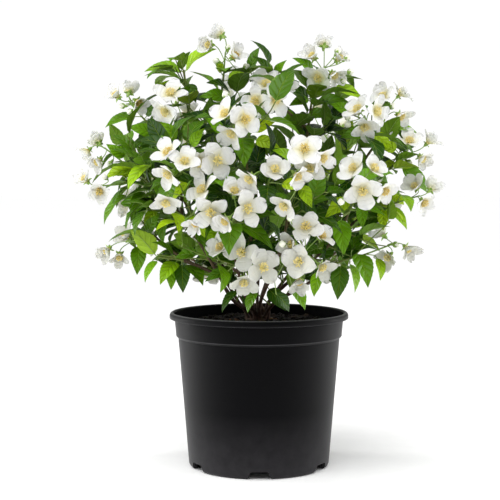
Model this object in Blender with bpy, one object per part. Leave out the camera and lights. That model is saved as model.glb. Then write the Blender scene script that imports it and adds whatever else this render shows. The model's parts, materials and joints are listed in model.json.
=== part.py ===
"""Potted mock orange: a nursery pot, its soil, woody canes, leafy shoots and flower sprays.

Metres, +Z up. The pot's axis is the Z axis, it stands on z = 0 and its front faces -Y.
"""
import math
import random
from collections import namedtuple

import bmesh
import bpy
from mathutils import Matrix, Vector
from mathutils.bvhtree import BVHTree

# Driving dimensions: the gap that neighbours keep, then the pot, the soil and the plant
GAP = 0.0003
POT_HEIGHT = 0.224
LIP_RADIUS = 0.130
CREST_RADIUS = 0.1265
COLLAR_TOP_RADIUS = 0.1226
COLLAR_FOOT_RADIUS = 0.1205
BODY_TOP_RADIUS = 0.1174
BODY_FOOT_RADIUS = 0.1025
COLLAR_FOOT = 0.190
COLLAR_STEP = 0.003
LIP_HEIGHT = 0.009
LIP_WIDTH = 0.007
LIP_ROUND = 0.001
WALL = 0.0022
FOOT_WIDTH = 0.0045
FOOT_FILLET = 0.006
FLOOR_UNDERSIDE = 0.0125
FLOOR_THICKNESS = 0.0025
POT_SIDES = 30
NOTCHES = 6
NOTCH_HEIGHT = 0.011
NOTCH_TOP_WIDTH = 0.026
NOTCH_FOOT_WIDTH = 0.038
NOTCH_INNER_RADIUS = 0.086
NOTCH_OVERSHOOT = 0.02
SHARP_EDGE = math.radians(40)
SOIL_EDGE = 0.205
SOIL_MOUND = 0.211
CROWN_RADIUS = 0.026
CROWN_FOOT = 0.176
CROWN_TOP = 0.216
CROWN_SIDES = 12
CANE_FOOT = 0.196
CANE_RISE = 0.222
CANE_SIDES = 4
CANE_RADIUS = 0.0040
CANE_TIP_RADIUS = 0.0023
BRANCH_RADIUS = 0.0020
BRANCH_DROP = 0.022
CURVE_HANDLE = 0.36
TWIG_SHARE = 0.58
FORK_SHARE = 0.21
TWIG_RADIUS = 0.0017
TWIG_TIP_RADIUS = 0.0013
AXIS_RADIUS = 0.0013
AXIS_TIP_RADIUS = 0.0011
STALK_RADIUS = 0.0008
STALK_LENGTH = 0.006
ROOT_DEPTH = 0.0003
STRAIGHT_STALK = math.radians(50)
TWIG_SIDES = 4
LEAF_THICKNESS = 0.0014
LEAF_RATIO = 0.58
LEAF_ARCH = 0.10
LEAF_FOLD = 0.22
LEAF_LEAST_HALF_WIDTH = 0.009
LEAF_MOST_HALF_WIDTH = 0.017
BLOOM_RADIUS = 0.0225
BLOOM_NECK = 0.013
BLOOM_BACK = 0.020
TUFT_HEIGHT = 0.0068
CALYX_RADIUS = 0.0024
CALYX_DEPTH = 0.0050
BUD_RADIUS = 0.0046
BUD_LENGTH = 0.0115
BUD_CALYX_RADIUS = 0.0019
BUD_NECK = 0.00975
CLEARANCE = 0.0004
FRONT_PAIRS = 2
BACK_PAIRS = 6
SEED = 11

# Stations along a leaf: share of its length, and half width as a share of the widest
LEAF_STATIONS = ((0.34, 1.0), (0.70, 0.70))

# One petal's rim: quarter turns from its middle, share of the flower's radius, and lift
PETAL_RIM = ((-0.5, 0.34, 0.0008), (-0.31, 0.84, 0.0048), (0, 1.0, 0.0034), (0.31, 0.84, 0.0048))

# How far the rim of a half-open flower rises, for each share of the full size that it lacks
CUP_RISE = 0.0225

# Millimetres tried in turn for a solid's depth and its tip's lean, and shares of an axis for its root
DEPTH_TRIALS = (0, 7, -7, 14, -14, 21, -21, 30, -30, 40, -40, 55)
LEAN_TRIALS = (0, 10, -10, 22, -22)
ROOT_TRIALS = (0.94, 0.75, 0.55, 0.35)
RULED_TRIALS = 7

# The view that the photograph's pixel places are read in
PHOTO_CENTRE = 250.0
PHOTO_FOCAL = 1250.0
EYE = Vector((-0.013, -1.814, 0.4154))
EYE_PITCH = math.radians(3.207)

# The bush's outer dome, as it shows in the photograph, and its depth
DOME_COL = 259.0
DOME_ROW = 168.0
DOME_HALF_COLS = 186.0
DOME_HALF_ROWS = 152.0
DOME_DEPTH = 0.225
DOME_EDGE = 0.2
DOME_CENTRE = Vector((0.0, 0.0, 0.40))

# Dips in the bush's outline that no ruled leaf fills: photograph column and row, and reach in metres
OPEN_SKY = ((291, 53, 0.028), (202, 66, 0.020), (242, 49, 0.018), (139, 88, 0.017), (202, 41, 0.014),
            (369, 236, 0.013), (94, 134, 0.012), (102, 254, 0.012), (413, 251, 0.012), (372, 90, 0.013))

# Each letter turns a flower's face a way: Front, Behind, Left, Right, Up or Down
FACING = {
    "F": Vector((0, -1, 0)), "B": Vector((0, 1, 0)), "L": Vector((-1, 0, 0)),
    "R": Vector((1, 0, 0)), "U": Vector((0, 0, 1)), "D": Vector((0, 0, -1)),
}

# Places are photograph columns and rows, and depths are millimetres in front of the pot's axis
Cane = namedtuple("Cane", "name parent points")
Bloom = namedtuple("Bloom", "col row face ahead size", defaults=(0, 1.0))
Spray = namedtuple("Spray", "name share blooms buds")
Leaf = namedtuple("Leaf", "col row tip_col tip_row width lean", defaults=(8,))
Shoot = namedtuple("Shoot", "name cane start depth sprays leaves tip", defaults=(None,))

CANES = (
    Cane("low_left", None, ((232.7, 300, 45), (216, 271, 80), (199, 241, 105), (187, 227, 115))),
    Cane("mid_left", None, ((236, 298, 12), (205, 245, 25), (172, 205, 28), (148, 182, 15))),
    Cane("upper_left", None, ((241, 295, 0), (215, 235, 2), (185, 180, 5), (158, 136, 5))),
    Cane("top_left", None, ((247, 295, -12), (236, 230, -12), (226, 160, -5), (222, 98, 0))),
    Cane("top_middle", None, ((252, 296, 28), (251, 245, 58), (248, 200, 78), (247, 150, 75))),
    Cane("top_right", None, ((262, 295, -12), (286, 230, -12), (302, 170, 0), (311, 106, 0))),
    Cane("right", None, ((271, 299, 15), (315, 258, 32), (350, 226, 30), (370, 211, 22))),
    Cane("low_right", None, ((277, 301, 38), (296, 291, 58), (314, 279, 66), (329, 268, 66))),
    Cane("front", None, ((261, 301, 58), (272, 272, 100), (283, 240, 128), (288, 214, 135))),
    Cane("front_left", None, ((248, 302, 58), (241, 281, 92), (234, 255, 118), (229, 236, 122))),
    Cane("back_left", None, ((242, 299, -32), (219, 260, -68), (190, 212, -84), (172, 176, -84))),
    Cane("back_middle", None, ((257, 299, -40), (259, 250, -88), (256, 195, -116), (252, 150, -112))),
    Cane("back_right", None, ((271, 299, -32), (303, 255, -68), (334, 208, -88), (348, 172, -92))),
    Cane("left_branch", "low_left", ((192, 263, 62), (172, 251, 60), (154, 236, 52))),
    Cane("upper_right", "right", ((312, 240, 8), (346, 188, 8), (374, 146, 5))),
    Cane("back_low_left", "back_left", ((198, 262, -96), (176, 246, -118))),
    Cane("back_low_right", "back_right", ((324, 260, -96), (346, 243, -116))),
)

SPRAYS = (
    Spray("top_left", 0.15, (
        Bloom(222, 36, "UBL", 0, 0.6), Bloom(211, 45, "FL", -8, 0.5),
        Bloom(233, 57.6, "FRU", 10, 0.6)),
        ((228, 47), (216, 61), (246.5, 66.6))),
    Spray("upper_far_left", 0.1, (
        Bloom(118, 97, "FLU", 0, 0.65), Bloom(129, 93, "UB", -14, 0.6),
        Bloom(137, 101, "FRD", 6, 0.6)),
        ((122, 106), (130, 112))),
    Spray("upper_left", 0.5, (
        Bloom(170.6, 95, "FU", 4), Bloom(167, 110, "FDL", 14, 0.95)), ()),
    Spray("far_left", 0.05, (
        Bloom(89, 150, "LD", 0, 0.75), Bloom(99, 143, "UBL", -12, 0.6),
        Bloom(100, 160, "DFL", 10, 0.6)),
        ((110, 164),)),
    Spray("left", 0.35, (
        Bloom(87, 181, "FLU", -6, 0.65), Bloom(99.9, 189.7, "FFD", 12, 0.7)), ((105, 177),)),
    Spray("left_front", 0.9, (
        Bloom(170, 154, "FLU", 0, 0.9), Bloom(184.7, 164, "FU", 12, 0.9),
        Bloom(170, 172, "FDL", 4, 0.85), Bloom(198.5, 161, "FFRD", -10, 0.8),
        Bloom(216, 160.4, "FFR", 8, 1.05)), ()),
    Spray("crest_left", 0.85, (
        Bloom(227, 115.5, "FLU", 0, 0.85), Bloom(243.5, 119.5, "FFR", 10, 0.95),
        Bloom(233.5, 131.5, "FDL", 4, 0.85)),
        ((225.5, 94.6),)),
    Spray("crest", 0.55, (
        Bloom(257, 101, "FFL", 2), Bloom(273, 100, "FR", -6, 1.05), Bloom(266, 86, "UF", -14, 0.9),
        Bloom(283, 90, "URF", -18, 0.6)), ()),
    Spray("middle_left", 0.92, (
        Bloom(166, 200, "FD", -6, 0.9), Bloom(203.8, 191.5, "FUL", 2), Bloom(210.8, 210, "FFD", 12),
        Bloom(198, 221, "DLF", 0, 0.6)), ()),
    Spray("middle", 0.98, (
        Bloom(246, 208.5, "FFR", 6), Bloom(234.5, 193.8, "FU", -8, 0.7),
        Bloom(227.5, 219, "DFL", -4, 0.6)),
        ()),
    Spray("middle_upper", 0.95, (
        Bloom(251.5, 177, "FLD", 6, 0.85), Bloom(275, 171, "FFU", -4, 0.8),
        Bloom(295, 174, "FRD", 2, 0.75)), ()),
    Spray("middle_right", 0.95, (
        Bloom(304.5, 150.5, "FFU", 12, 1.05), Bloom(320.5, 156, "FRD", -2, 0.85),
        Bloom(309.6, 166.3, "FFD", -32, 0.9), Bloom(286, 204, "FDL", 4, 0.85)), ((299, 186),)),
    Spray("right_front", 0.95, (
        Bloom(362.5, 189, "FFD", 12, 1.1), Bloom(355, 170, "FUL", 0, 0.85),
        Bloom(372, 170, "FUR", -8, 0.8), Bloom(382.5, 189, "FRD", -4, 0.85)), ((341, 202),)),
    Spray("upper_right", 0.4, (
        Bloom(359, 111, "FUL", 6, 0.8), Bloom(374.5, 111.5, "FR", -4, 0.95),
        Bloom(364.5, 124.5, "FD", 10, 0.9)),
        ((347.9, 124.7), (347.3, 117))),
    Spray("upper_far_right", -0.2, (
        Bloom(384.5, 98, "FLU", 2, 0.85), Bloom(399, 95.5, "UR", -10, 0.85),
        Bloom(398.6, 114.6, "FRD", 8, 0.75)),
        ((391.6, 106),)),
    Spray("top_right", 0.05, (
        Bloom(324, 46, "UB", -4, 0.65), Bloom(314, 58, "FLU", -10, 0.6),
        Bloom(319, 77, "FFLD", 14, 0.85), Bloom(332, 73.5, "FRD", 4, 0.65),
        Bloom(337, 60, "FRU", -2, 0.6)),
        ((347, 58), (350.5, 72), (343, 81), (338, 51))),
    Spray("far_right_upper", 0.0, (
        Bloom(390, 136.5, "FLU", 2, 0.6), Bloom(409, 143, "FU", -6, 0.85),
        Bloom(427, 143.5, "RU", -10, 0.7), Bloom(420, 157, "FRD", 8, 0.65)), ((409.5, 162.8),)),
    Spray("far_right", 0.2, (
        Bloom(416.4, 188, "FLU", 2, 0.65), Bloom(430, 190, "RUB", -8, 0.65),
        Bloom(422.2, 201, "FDR", 10, 0.8)),
        ()),
    Spray("low_far_right", 0.25, (
        Bloom(384, 236, "UBL", -6, 0.7), Bloom(389.6, 255, "FDL", 8, 0.75),
        Bloom(405.5, 247, "RFD", 0, 0.6)),
        ((396, 244.6),)),
    Spray("low_right", 0.98, (
        Bloom(305.5, 228, "FFU", 6), Bloom(319.4, 237, "FRU", 4, 0.85), Bloom(300.6, 261.3, "FFL", 12),
        Bloom(320, 265, "FRD", -6, 0.7), Bloom(294, 244, "FL", -10, 0.6),
        Bloom(299, 279, "DF", -12, 0.6)),
        ((290, 218), (282.2, 244))),
    Spray("low_left", 0.98, (
        Bloom(243.3, 252, "FFL", 6, 1.05), Bloom(261.5, 267, "FFR", 14, 1.05),
        Bloom(222, 249, "FLU", -6, 0.8), Bloom(244, 279.5, "FD", 2, 0.8)), ()),
    Spray("low_far_left", 0.3, (
        Bloom(128, 237.5, "FLU", 4, 0.65), Bloom(142, 240, "FRB", -8, 0.55),
        Bloom(109, 248.5, "LFD", -4, 0.6), Bloom(119.6, 254.5, "DF", 6, 0.6)), ((150.5, 253),)),
    Spray("back_top", -0.62, (
        Bloom(236, 82, "BU"), Bloom(262, 90, "BUR", -8), Bloom(246, 106, "B", -14),
        Bloom(226, 98, "BUL", 16)), ()),
    Spray("back_upper_left", -0.6, (
        Bloom(188, 114, "BUL"), Bloom(164, 130, "BL", -6), Bloom(190, 140, "B", -14),
        Bloom(172, 150, "BLD", 10)), ((176, 102),)),
    Spray("back_upper_right", -0.72, (
        Bloom(318, 110, "BUR"), Bloom(342, 128, "BR", -6), Bloom(314, 140, "B", -12),
        Bloom(338, 150, "BRD", 12)), ((330, 96),)),
    Spray("back_middle_left", -0.97, (
        Bloom(214, 174, "BL"), Bloom(238, 188, "B", -6), Bloom(208, 202, "BD", -8),
        Bloom(232, 160, "BU", 8)), ()),
    Spray("back_middle_right", -0.92, (
        Bloom(290, 176, "BR"), Bloom(314, 190, "BRD", -6), Bloom(284, 204, "BBD", -10),
        Bloom(300, 160, "BU", 8)), ()),
    Spray("back_far_left", -0.6, (
        Bloom(146, 186, "BLU"), Bloom(128, 204, "BL", -4), Bloom(152, 214, "BD", -10)),
        ((138, 172),)),
    Spray("back_far_right", -0.62, (
        Bloom(372, 180, "BRU"), Bloom(388, 204, "BR", -4), Bloom(364, 212, "BD", -10)),
        ((380, 166),)),
    Spray("back_low_left", -0.85, (
        Bloom(196, 244, "BL"), Bloom(220, 256, "BD", -6), Bloom(184, 260, "BLD", -8),
        Bloom(208, 272, "BD", 10)), ()),
    Spray("back_low_right", -0.85, (
        Bloom(312, 246, "BR"), Bloom(334, 258, "BRD", -6), Bloom(298, 262, "BD", -8),
        Bloom(318, 272, "BD", 10)), ()),
)

SHOOTS = (
    Shoot("top_left", "top_left", None, 0, ("top_left",), (
        Leaf(229, 91, 206, 83, 9), Leaf(228, 80, 250, 72, 9), Leaf(222, 74, 213, 60, 8))),
    Shoot("left_crest", "upper_left", (186, 116), -12, (), (
        Leaf(181, 71, 144, 72, 11), Leaf(186, 70, 217, 49, 11), Leaf(189, 84, 196, 103, 12),
        Leaf(181, 90, 158, 84, 10)), (184, 70)),
    Shoot("upper_left", "upper_left", None, 0, ("upper_far_left", "upper_left"), (
        Leaf(141, 117, 156, 101, 10), Leaf(134, 117, 105, 128, 10), Leaf(158, 134, 127.5, 127, 14),
        Leaf(152, 140, 129, 150, 9))),
    Shoot("left", "mid_left", None, 0, ("far_left", "left"), (
        Leaf(125, 156, 106, 144, 14), Leaf(136, 169, 104, 180, 12), Leaf(150, 165, 128, 190, 11),
        Leaf(126, 195, 104, 225, 10), Leaf(144, 192, 130.5, 221.5, 22),
        Leaf(156, 210, 144.5, 227.5, 11))),
    Shoot("left_front", "mid_left", (181, 176), 95, ("left_front",), (
        Leaf(160, 178, 159, 198, 12), Leaf(192, 180, 168, 209, 12), Leaf(192, 146, 205, 128, 12),
        Leaf(176, 140, 160, 122, 12))),
    Shoot("crest", "top_middle", None, 0, ("crest_left", "crest"), (
        Leaf(252, 128, 275, 122, 14), Leaf(262, 112, 290, 108, 12), Leaf(222, 132, 205, 118, 12),
        Leaf(256, 140, 280, 148, 14))),
    Shoot("middle_left", "low_left", None, 0, ("middle_left",), (
        Leaf(173, 212, 178, 233, 13), Leaf(196, 232, 212, 250, 13))),
    Shoot("middle", "front_left", None, 0, ("middle",), (
        Leaf(236, 230, 262, 226, 13), Leaf(222, 230, 206, 240, 12))),
    Shoot("middle_upper", "top_middle", (262, 196), 120, ("middle_upper",), (
        Leaf(266, 188, 262, 160, 14), Leaf(282, 184, 305, 190, 12))),
    Shoot("middle_right", "front", None, 0, ("middle_right",), (
        Leaf(302, 186, 312, 208, 20), Leaf(292, 160, 272, 150, 12), Leaf(300, 200, 318, 218, 14))),
    Shoot("right_front", "right", (348, 214), 95, ("right_front",), (
        Leaf(341, 220, 344, 255, 23), Leaf(349, 200, 325, 218, 16), Leaf(364, 205, 363, 229, 13))),
    Shoot("upper_right", "upper_right", None, 0, ("upper_right", "upper_far_right"), (
        Leaf(386, 127, 418, 134, 9), Leaf(366, 134, 340, 138, 13), Leaf(372, 132, 392, 150, 12),
        Leaf(350, 112, 330, 104, 12))),
    Shoot("far_right_upper", "upper_right", (386, 170), 8, ("far_right_upper",), (
        Leaf(402, 168, 427, 193, 15), Leaf(392, 160, 374, 176, 14), Leaf(396, 150, 380, 141, 13))),
    Shoot("far_right", "right", None, 0, ("far_right",), (
        Leaf(387, 207, 407, 230, 10), Leaf(379, 206, 383, 231, 14), Leaf(402, 195, 411, 212, 11),
        Leaf(392, 196, 404, 205, 10))),
    Shoot("low_far_right", "low_right", None, 0, ("low_far_right",), (
        Leaf(339, 262, 337.5, 300, 22), Leaf(357.5, 254, 368, 288, 20), Leaf(377, 258, 380, 281, 9),
        Leaf(350, 264, 354.5, 293, 8), Leaf(352, 250, 364, 234, 8))),
    Shoot("top_right", "top_right", None, 0, ("top_right",), (
        Leaf(315, 104, 351, 104, 10), Leaf(334, 88, 363, 100, 12), Leaf(308, 100, 282, 84, 10),
        Leaf(313, 74, 292, 58, 9))),
    Shoot("top_middle", "top_right", (286, 110), 35, (), (
        Leaf(272, 78, 252, 56, 10), Leaf(276, 78, 287, 60, 8), Leaf(279, 88, 300, 82, 10)),
        (274, 77)),
    Shoot("low_right", "front", (288, 252), 140, ("low_right",), (
        Leaf(321, 272, 314, 297, 13), Leaf(292, 286, 305, 310, 13), Leaf(276, 294, 289, 312, 11))),
    Shoot("low_left", "front_left", (232, 268), 128, ("low_left",), (
        Leaf(256, 292, 247.5, 313, 10), Leaf(219, 264, 220, 293, 12), Leaf(226, 272, 205, 282, 11))),
    Shoot("low_far_left", "left_branch", None, 0, ("low_far_left",), (
        Leaf(139, 246, 137, 275, 17), Leaf(146, 234, 160, 214, 12))),
    Shoot("low_left_leaves", "left_branch", (184, 261), 58, (), (
        Leaf(182, 264, 183, 293, 17), Leaf(168, 262, 171, 290, 15), Leaf(157, 259, 145, 283, 9),
        Leaf(176, 262, 160, 285, 16), Leaf(187, 265, 203, 286, 13)), (157, 257)),
    Shoot("back_left", "back_left", None, 0, ("back_upper_left", "back_far_left"), ()),
    Shoot("back_middle", "back_middle", None, 0, ("back_top", "back_middle_left"), ()),
    Shoot("back_right", "back_right", None, 0, ("back_upper_right", "back_middle_right"), ()),
    Shoot("back_low_left", "back_low_left", None, 0, ("back_low_left",), ()),
    Shoot("back_low_right", "back_low_right", None, 0, ("back_low_right", "back_far_right"), ()),
)


def photo_point(col, row, depth):
    """The place seen at a pixel of the photograph, this many millimetres before the pot's axis."""
    sight = Vector((0, math.cos(EYE_PITCH), -math.sin(EYE_PITCH)))
    sight += (col - PHOTO_CENTRE) / PHOTO_FOCAL * Vector((1, 0, 0))
    sight += (PHOTO_CENTRE - row) / PHOTO_FOCAL * Vector((0, math.sin(EYE_PITCH), math.cos(EYE_PITCH)))
    return EYE + sight * ((-depth / 1000 - EYE.y) / sight.y)


def dome_depth(col, row, share):
    """Millimetres before the axis of the bush's surface at a pixel, times a share of it."""
    across = (col - DOME_COL) / DOME_HALF_COLS
    up = (row - DOME_ROW) / DOME_HALF_ROWS
    bulge = math.sqrt(max(DOME_EDGE ** 2, 1 - across * across - up * up))
    return 1000 * DOME_DEPTH * share * bulge


def facing(letters):
    return sum((FACING[letter] for letter in letters), Vector()).normalized()


def square_to(direction):
    """Two directions square to this one and to each other."""
    first = direction.cross(Vector((0, 0, 1)))
    if first.length < 0.05:
        first = direction.cross(Vector((0, 1, 0)))
    first.normalize()
    return first, direction.cross(first).normalized()


def curve_points(start, start_way, end, end_way, count):
    """Points along a smooth curve that leaves and arrives in given directions."""
    reach = (end - start).length * CURVE_HANDLE
    near = start + start_way * reach
    far = end - end_way * reach
    points = []
    for step in range(count + 1):
        t = step / count
        s = 1 - t
        points.append(start * s ** 3 + near * (3 * s * s * t) + far * (3 * s * t * t) + end * t ** 3)
    return points


def tube(points, radii, sides, start_way=None, end_way=None):
    """A closed tube along points, with flat ends square to the ways given or to its end stretches."""
    verts, faces = [], []
    ways = [(b - a).normalized() for a, b in zip(points, points[1:])]
    across, _ = square_to(ways[0])
    for i, point in enumerate(points):
        if i == 0:
            way = start_way or ways[0]
        elif i == len(points) - 1:
            way = end_way or ways[-1]
        else:
            way = (ways[i - 1] + ways[i]).normalized()
        across = (across - way * across.dot(way)).normalized()
        up = way.cross(across)
        for k in range(sides):
            angle = 2 * math.pi * k / sides
            verts.append(point + (across * math.cos(angle) + up * math.sin(angle)) * radii[i])
    for i in range(len(points) - 1):
        for k in range(sides):
            a, b = i * sides + k, i * sides + (k + 1) % sides
            faces.append((a, b, b + sides, a + sides))
    faces.append(tuple(reversed(range(sides))))
    faces.append(tuple(range(len(verts) - sides, len(verts))))
    return verts, faces


def leaf_solid(root, base, tip, half_width, normal):
    """A leaf blade on its stalk: a thin folded lens of rhombic section, ending in a point."""
    along = (tip - base).normalized()
    length = (tip - base).length
    normal = (normal - along * normal.dot(along)).normalized()
    side = along.cross(normal)
    stalk_way = (base - root).normalized()
    turns = [2 * math.pi * k / 3 for k in (-1, 0, 1)]
    arms = [side * math.sin(turn) + normal * math.cos(turn) for turn in turns]
    root_arms = [(arm - stalk_way * arm.dot(stalk_way)).normalized() for arm in arms]
    verts = [root + arm * STALK_RADIUS for arm in root_arms]
    verts += [base + arm * STALK_RADIUS for arm in arms]
    for share, width in LEAF_STATIONS:
        middle = base + along * length * share
        middle = middle + normal * (length * LEAF_ARCH * 4 * share * (1 - share))
        spread = side * half_width * width
        lift = normal * half_width * width * LEAF_FOLD
        verts += [middle - spread + lift, middle + normal * LEAF_THICKNESS / 2,
                  middle + spread + lift, middle - normal * LEAF_THICKNESS / 2]
    verts.append(tip)
    faces = [(2, 1, 0), (0, 1, 4, 3), (1, 2, 5, 4), (2, 0, 3, 5)]
    faces += [(3, 4, 7), (3, 7, 6), (4, 5, 8), (4, 8, 7), (5, 3, 9), (5, 9, 8), (3, 6, 9)]
    for k in range(4):
        n = (k + 1) % 4
        faces += [(6 + k, 6 + n, 10 + n), (6 + k, 10 + n, 10 + k), (10 + k, 10 + n, 14)]
    return verts, faces


def bloom_solid(place, way, twist, root, radius, rise):
    """A flower on its stalk: four round petals, a tuft of stamens and a calyx below."""
    first, second = square_to(way)
    verts, faces = [], []

    def put(angle, reach, lift):
        turn = angle + twist
        verts.append(place + (first * math.cos(turn) + second * math.sin(turn)) * reach + way * lift)
        return len(verts) - 1

    outline = [put(math.pi / 2 * (k + turn), radius * share, lift + rise * share)
               for k in range(4) for turn, share, lift in PETAL_RIM]
    tuft = put(0, 0, TUFT_HEIGHT)
    for k in range(4):
        notch, left, end, right = outline[4 * k:4 * k + 4]
        next_notch = outline[(4 * k + 4) % 16]
        faces += [(notch, next_notch, tuft), (notch, left, end), (notch, end, next_notch),
                  (next_notch, end, right)]
    calyx = [put(2 * math.pi * k / 3, CALYX_RADIUS, -CALYX_DEPTH) for k in range(3)]
    sector = 0
    for k in range(16):
        a, b = outline[k], outline[(k + 1) % 16]
        faces.append((b, a, calyx[sector % 3]))
        if k + 1 >= 16 * (sector + 1) / 3 or k == 15:
            faces.append((b, calyx[sector % 3], calyx[(sector + 1) % 3]))
            sector += 1
    return stalk_rings(verts, faces, calyx, place - way * BLOOM_NECK, root)


def stalk_rings(verts, faces, top, bend, root):
    """Carries a three-sided stalk from the ring at its top to its root, through a bend if it turns."""
    middle = sum((verts[k] for k in top), Vector()) / 3
    turn = (bend - middle).angle(root - middle)
    before, previous = middle, top
    for place in (root,) if turn < STRAIGHT_STALK else (bend, root):
        way = (place - before).normalized()
        ring = []
        for k in previous:
            arm = verts[k] - before
            arm = arm - way * arm.dot(way)
            verts.append(place + arm.normalized() * STALK_RADIUS)
            ring.append(len(verts) - 1)
        for k in range(3):
            n = (k + 1) % 3
            faces.append((previous[n], previous[k], ring[k], ring[n]))
        before, previous = place, ring
    faces.append((previous[2], previous[1], previous[0]))
    return verts, faces


def bud_solid(place, way, root):
    """A closed bud on its stalk."""
    first, second = square_to(way)
    verts, faces = [], []

    def put(angle, reach, lift):
        verts.append(place + (first * math.cos(angle) + second * math.sin(angle)) * reach + way * lift)
        return len(verts) - 1

    waist = [put(2 * math.pi * k / 4, BUD_RADIUS, 0) for k in range(4)]
    end = put(0, 0, BUD_LENGTH * 0.5)
    calyx = [put(2 * math.pi * k / 3, BUD_CALYX_RADIUS, -BUD_LENGTH * 0.5) for k in range(3)]
    for k in range(4):
        faces.append((waist[k], waist[(k + 1) % 4], end))
    faces += [(waist[1], waist[0], calyx[0]), (waist[1], calyx[0], calyx[1]),
              (waist[2], waist[1], calyx[1]), (waist[3], waist[2], calyx[1]),
              (waist[3], calyx[1], calyx[2]), (waist[0], waist[3], calyx[2]),
              (waist[0], calyx[2], calyx[0])]
    return stalk_rings(verts, faces, calyx, place - way * BUD_NECK, root)


class Grown:
    """Solids that already have their place, to keep the next one clear of them."""

    def __init__(self):
        self.rows = []

    def add(self, solid, node, kind):
        verts, faces = solid
        centre = sum(verts, Vector()) / len(verts)
        reach = max((vert - centre).length for vert in verts)
        self.rows.append((node, kind, centre, reach, BVHTree.FromPolygons(verts, faces)))

    def clear(self, solid, carriers):
        """Whether a solid, a little fattened, crosses nothing but what carries it."""
        if crosses_itself(solid):
            return False
        verts, faces = fattened(solid)
        centre = sum(verts, Vector()) / len(verts)
        reach = max((vert - centre).length for vert in verts)
        tree = BVHTree.FromPolygons(verts, faces)
        for node, kind, other_centre, other_reach, other in self.rows:
            if (node, kind) in carriers:
                continue
            if (other_centre - centre).length < reach + other_reach and tree.overlap(other):
                return False
        return True

    def first_clear(self, options, node, kind, carriers):
        """Adds and gives back the first option that is clear, or None."""
        for solid in options:
            if self.clear(solid, carriers):
                self.add(solid, node, kind)
                return solid
        return None


def crosses_itself(solid):
    """Whether two triangles of a solid that share no corner cross."""
    verts, faces = solid
    triangles = [(face[0], face[k], face[k + 1]) for face in faces for k in range(1, len(face) - 1)]
    tree = BVHTree.FromPolygons(verts, triangles)
    return any(a < b and not set(triangles[a]) & set(triangles[b]) for a, b in tree.overlap(tree))


def fattened(solid):
    """The same solid, grown by the clearance that neighbours keep."""
    mesh = bmesh.new()
    verts, faces = solid
    made = [mesh.verts.new(vert) for vert in verts]
    for face in faces:
        mesh.faces.new([made[k] for k in face])
    mesh.normal_update()
    grown = [vert.co + vert.normal * CLEARANCE for vert in made]
    mesh.free()
    return grown, faces


def material(name, colour, roughness):
    made = bpy.data.materials.new(name)
    made.use_nodes = True
    shader = made.node_tree.nodes["Principled BSDF"]
    shader.inputs["Base Color"].default_value = (*colour, 1.0)
    shader.inputs["Roughness"].default_value = roughness
    shader.inputs["Metallic"].default_value = 0.0
    made.diffuse_color = (*colour, 1.0)
    return made


def mesh_object(name, solid):
    verts, faces = solid
    mesh = bpy.data.meshes.new(name)
    mesh.from_pydata([tuple(vert) for vert in verts], [], faces)
    made = bpy.data.objects.new(name, mesh)
    bpy.context.scene.collection.objects.link(made)
    return made


def outward(made):
    """Turns an object's faces to point out of its closed body."""
    shape = bmesh.new()
    shape.from_mesh(made.data)
    bmesh.ops.recalc_face_normals(shape, faces=shape.faces)
    shape.to_mesh(made.data)
    shape.free()


def rounded(mesh):
    """Shades a mesh smooth, apart from its sharp edges."""
    mesh.shade_smooth()
    mesh.set_sharp_from_angle(angle=SHARP_EDGE)


def fused(name, solids, finish):
    """One body of many overlapping solids."""
    body = mesh_object(name, solids[0])
    outward(body)
    if len(solids) > 1:
        repeats = bpy.data.collections.new(name + "_repeats")
        bpy.context.scene.collection.children.link(repeats)
        for solid in solids[1:]:
            repeat = mesh_object(name + "_repeat", solid)
            outward(repeat)
            bpy.context.scene.collection.objects.unlink(repeat)
            repeats.objects.link(repeat)
        union = body.modifiers.new("join_repeats", "BOOLEAN")
        union.operation = "UNION"
        union.operand_type = "COLLECTION"
        union.collection = repeats
        union.solver = "MANIFOLD"
        bpy.context.view_layer.update()
        graph = bpy.context.evaluated_depsgraph_get()
        joined = bpy.data.meshes.new_from_object(body.evaluated_get(graph))
        body.modifiers.clear()
        body.data = joined
        for repeat in list(repeats.objects):
            bpy.data.objects.remove(repeat)
        bpy.data.collections.remove(repeats)
        keep_main_shell(joined)
    rounded(body.data)
    body.data.materials.clear()
    body.data.materials.append(finish)
    return body


def keep_main_shell(mesh):
    """Drops sealed hollows and loose scraps, all but the largest shell."""
    shape = bmesh.new()
    shape.from_mesh(mesh)
    unseen = set(shape.verts)
    shells = []
    while unseen:
        front = [unseen.pop()]
        shell = set(front)
        while front:
            for edge in front.pop().link_edges:
                for vert in edge.verts:
                    if vert in unseen:
                        unseen.discard(vert)
                        shell.add(vert)
                        front.append(vert)
        shells.append(shell)
    shells.sort(key=len)
    for shell in shells[:-1]:
        bmesh.ops.delete(shape, geom=list(shell), context="VERTS")
    shape.to_mesh(mesh)
    shape.free()


def turned(name, profile, sides):
    """A closed solid of revolution about Z, from radius and height pairs going up the outside."""
    verts, faces, rings = [], [], []
    for radius, height in profile:
        if radius == 0:
            verts.append(Vector((0, 0, height)))
            rings.append([len(verts) - 1] * sides)
            continue
        ring = []
        for k in range(sides):
            angle = 2 * math.pi * (k + 0.5) / sides
            verts.append(Vector((radius * math.sin(angle), -radius * math.cos(angle), height)))
            ring.append(len(verts) - 1)
        rings.append(ring)
    for lower, upper in zip(rings, rings[1:]):
        for k in range(sides):
            n = (k + 1) % sides
            corners = (lower[k], lower[n], upper[n], upper[k])
            faces.append(tuple(dict.fromkeys(corners)))
    made = mesh_object(name, (verts, faces))
    outward(made)
    rounded(made.data)
    return made


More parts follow.
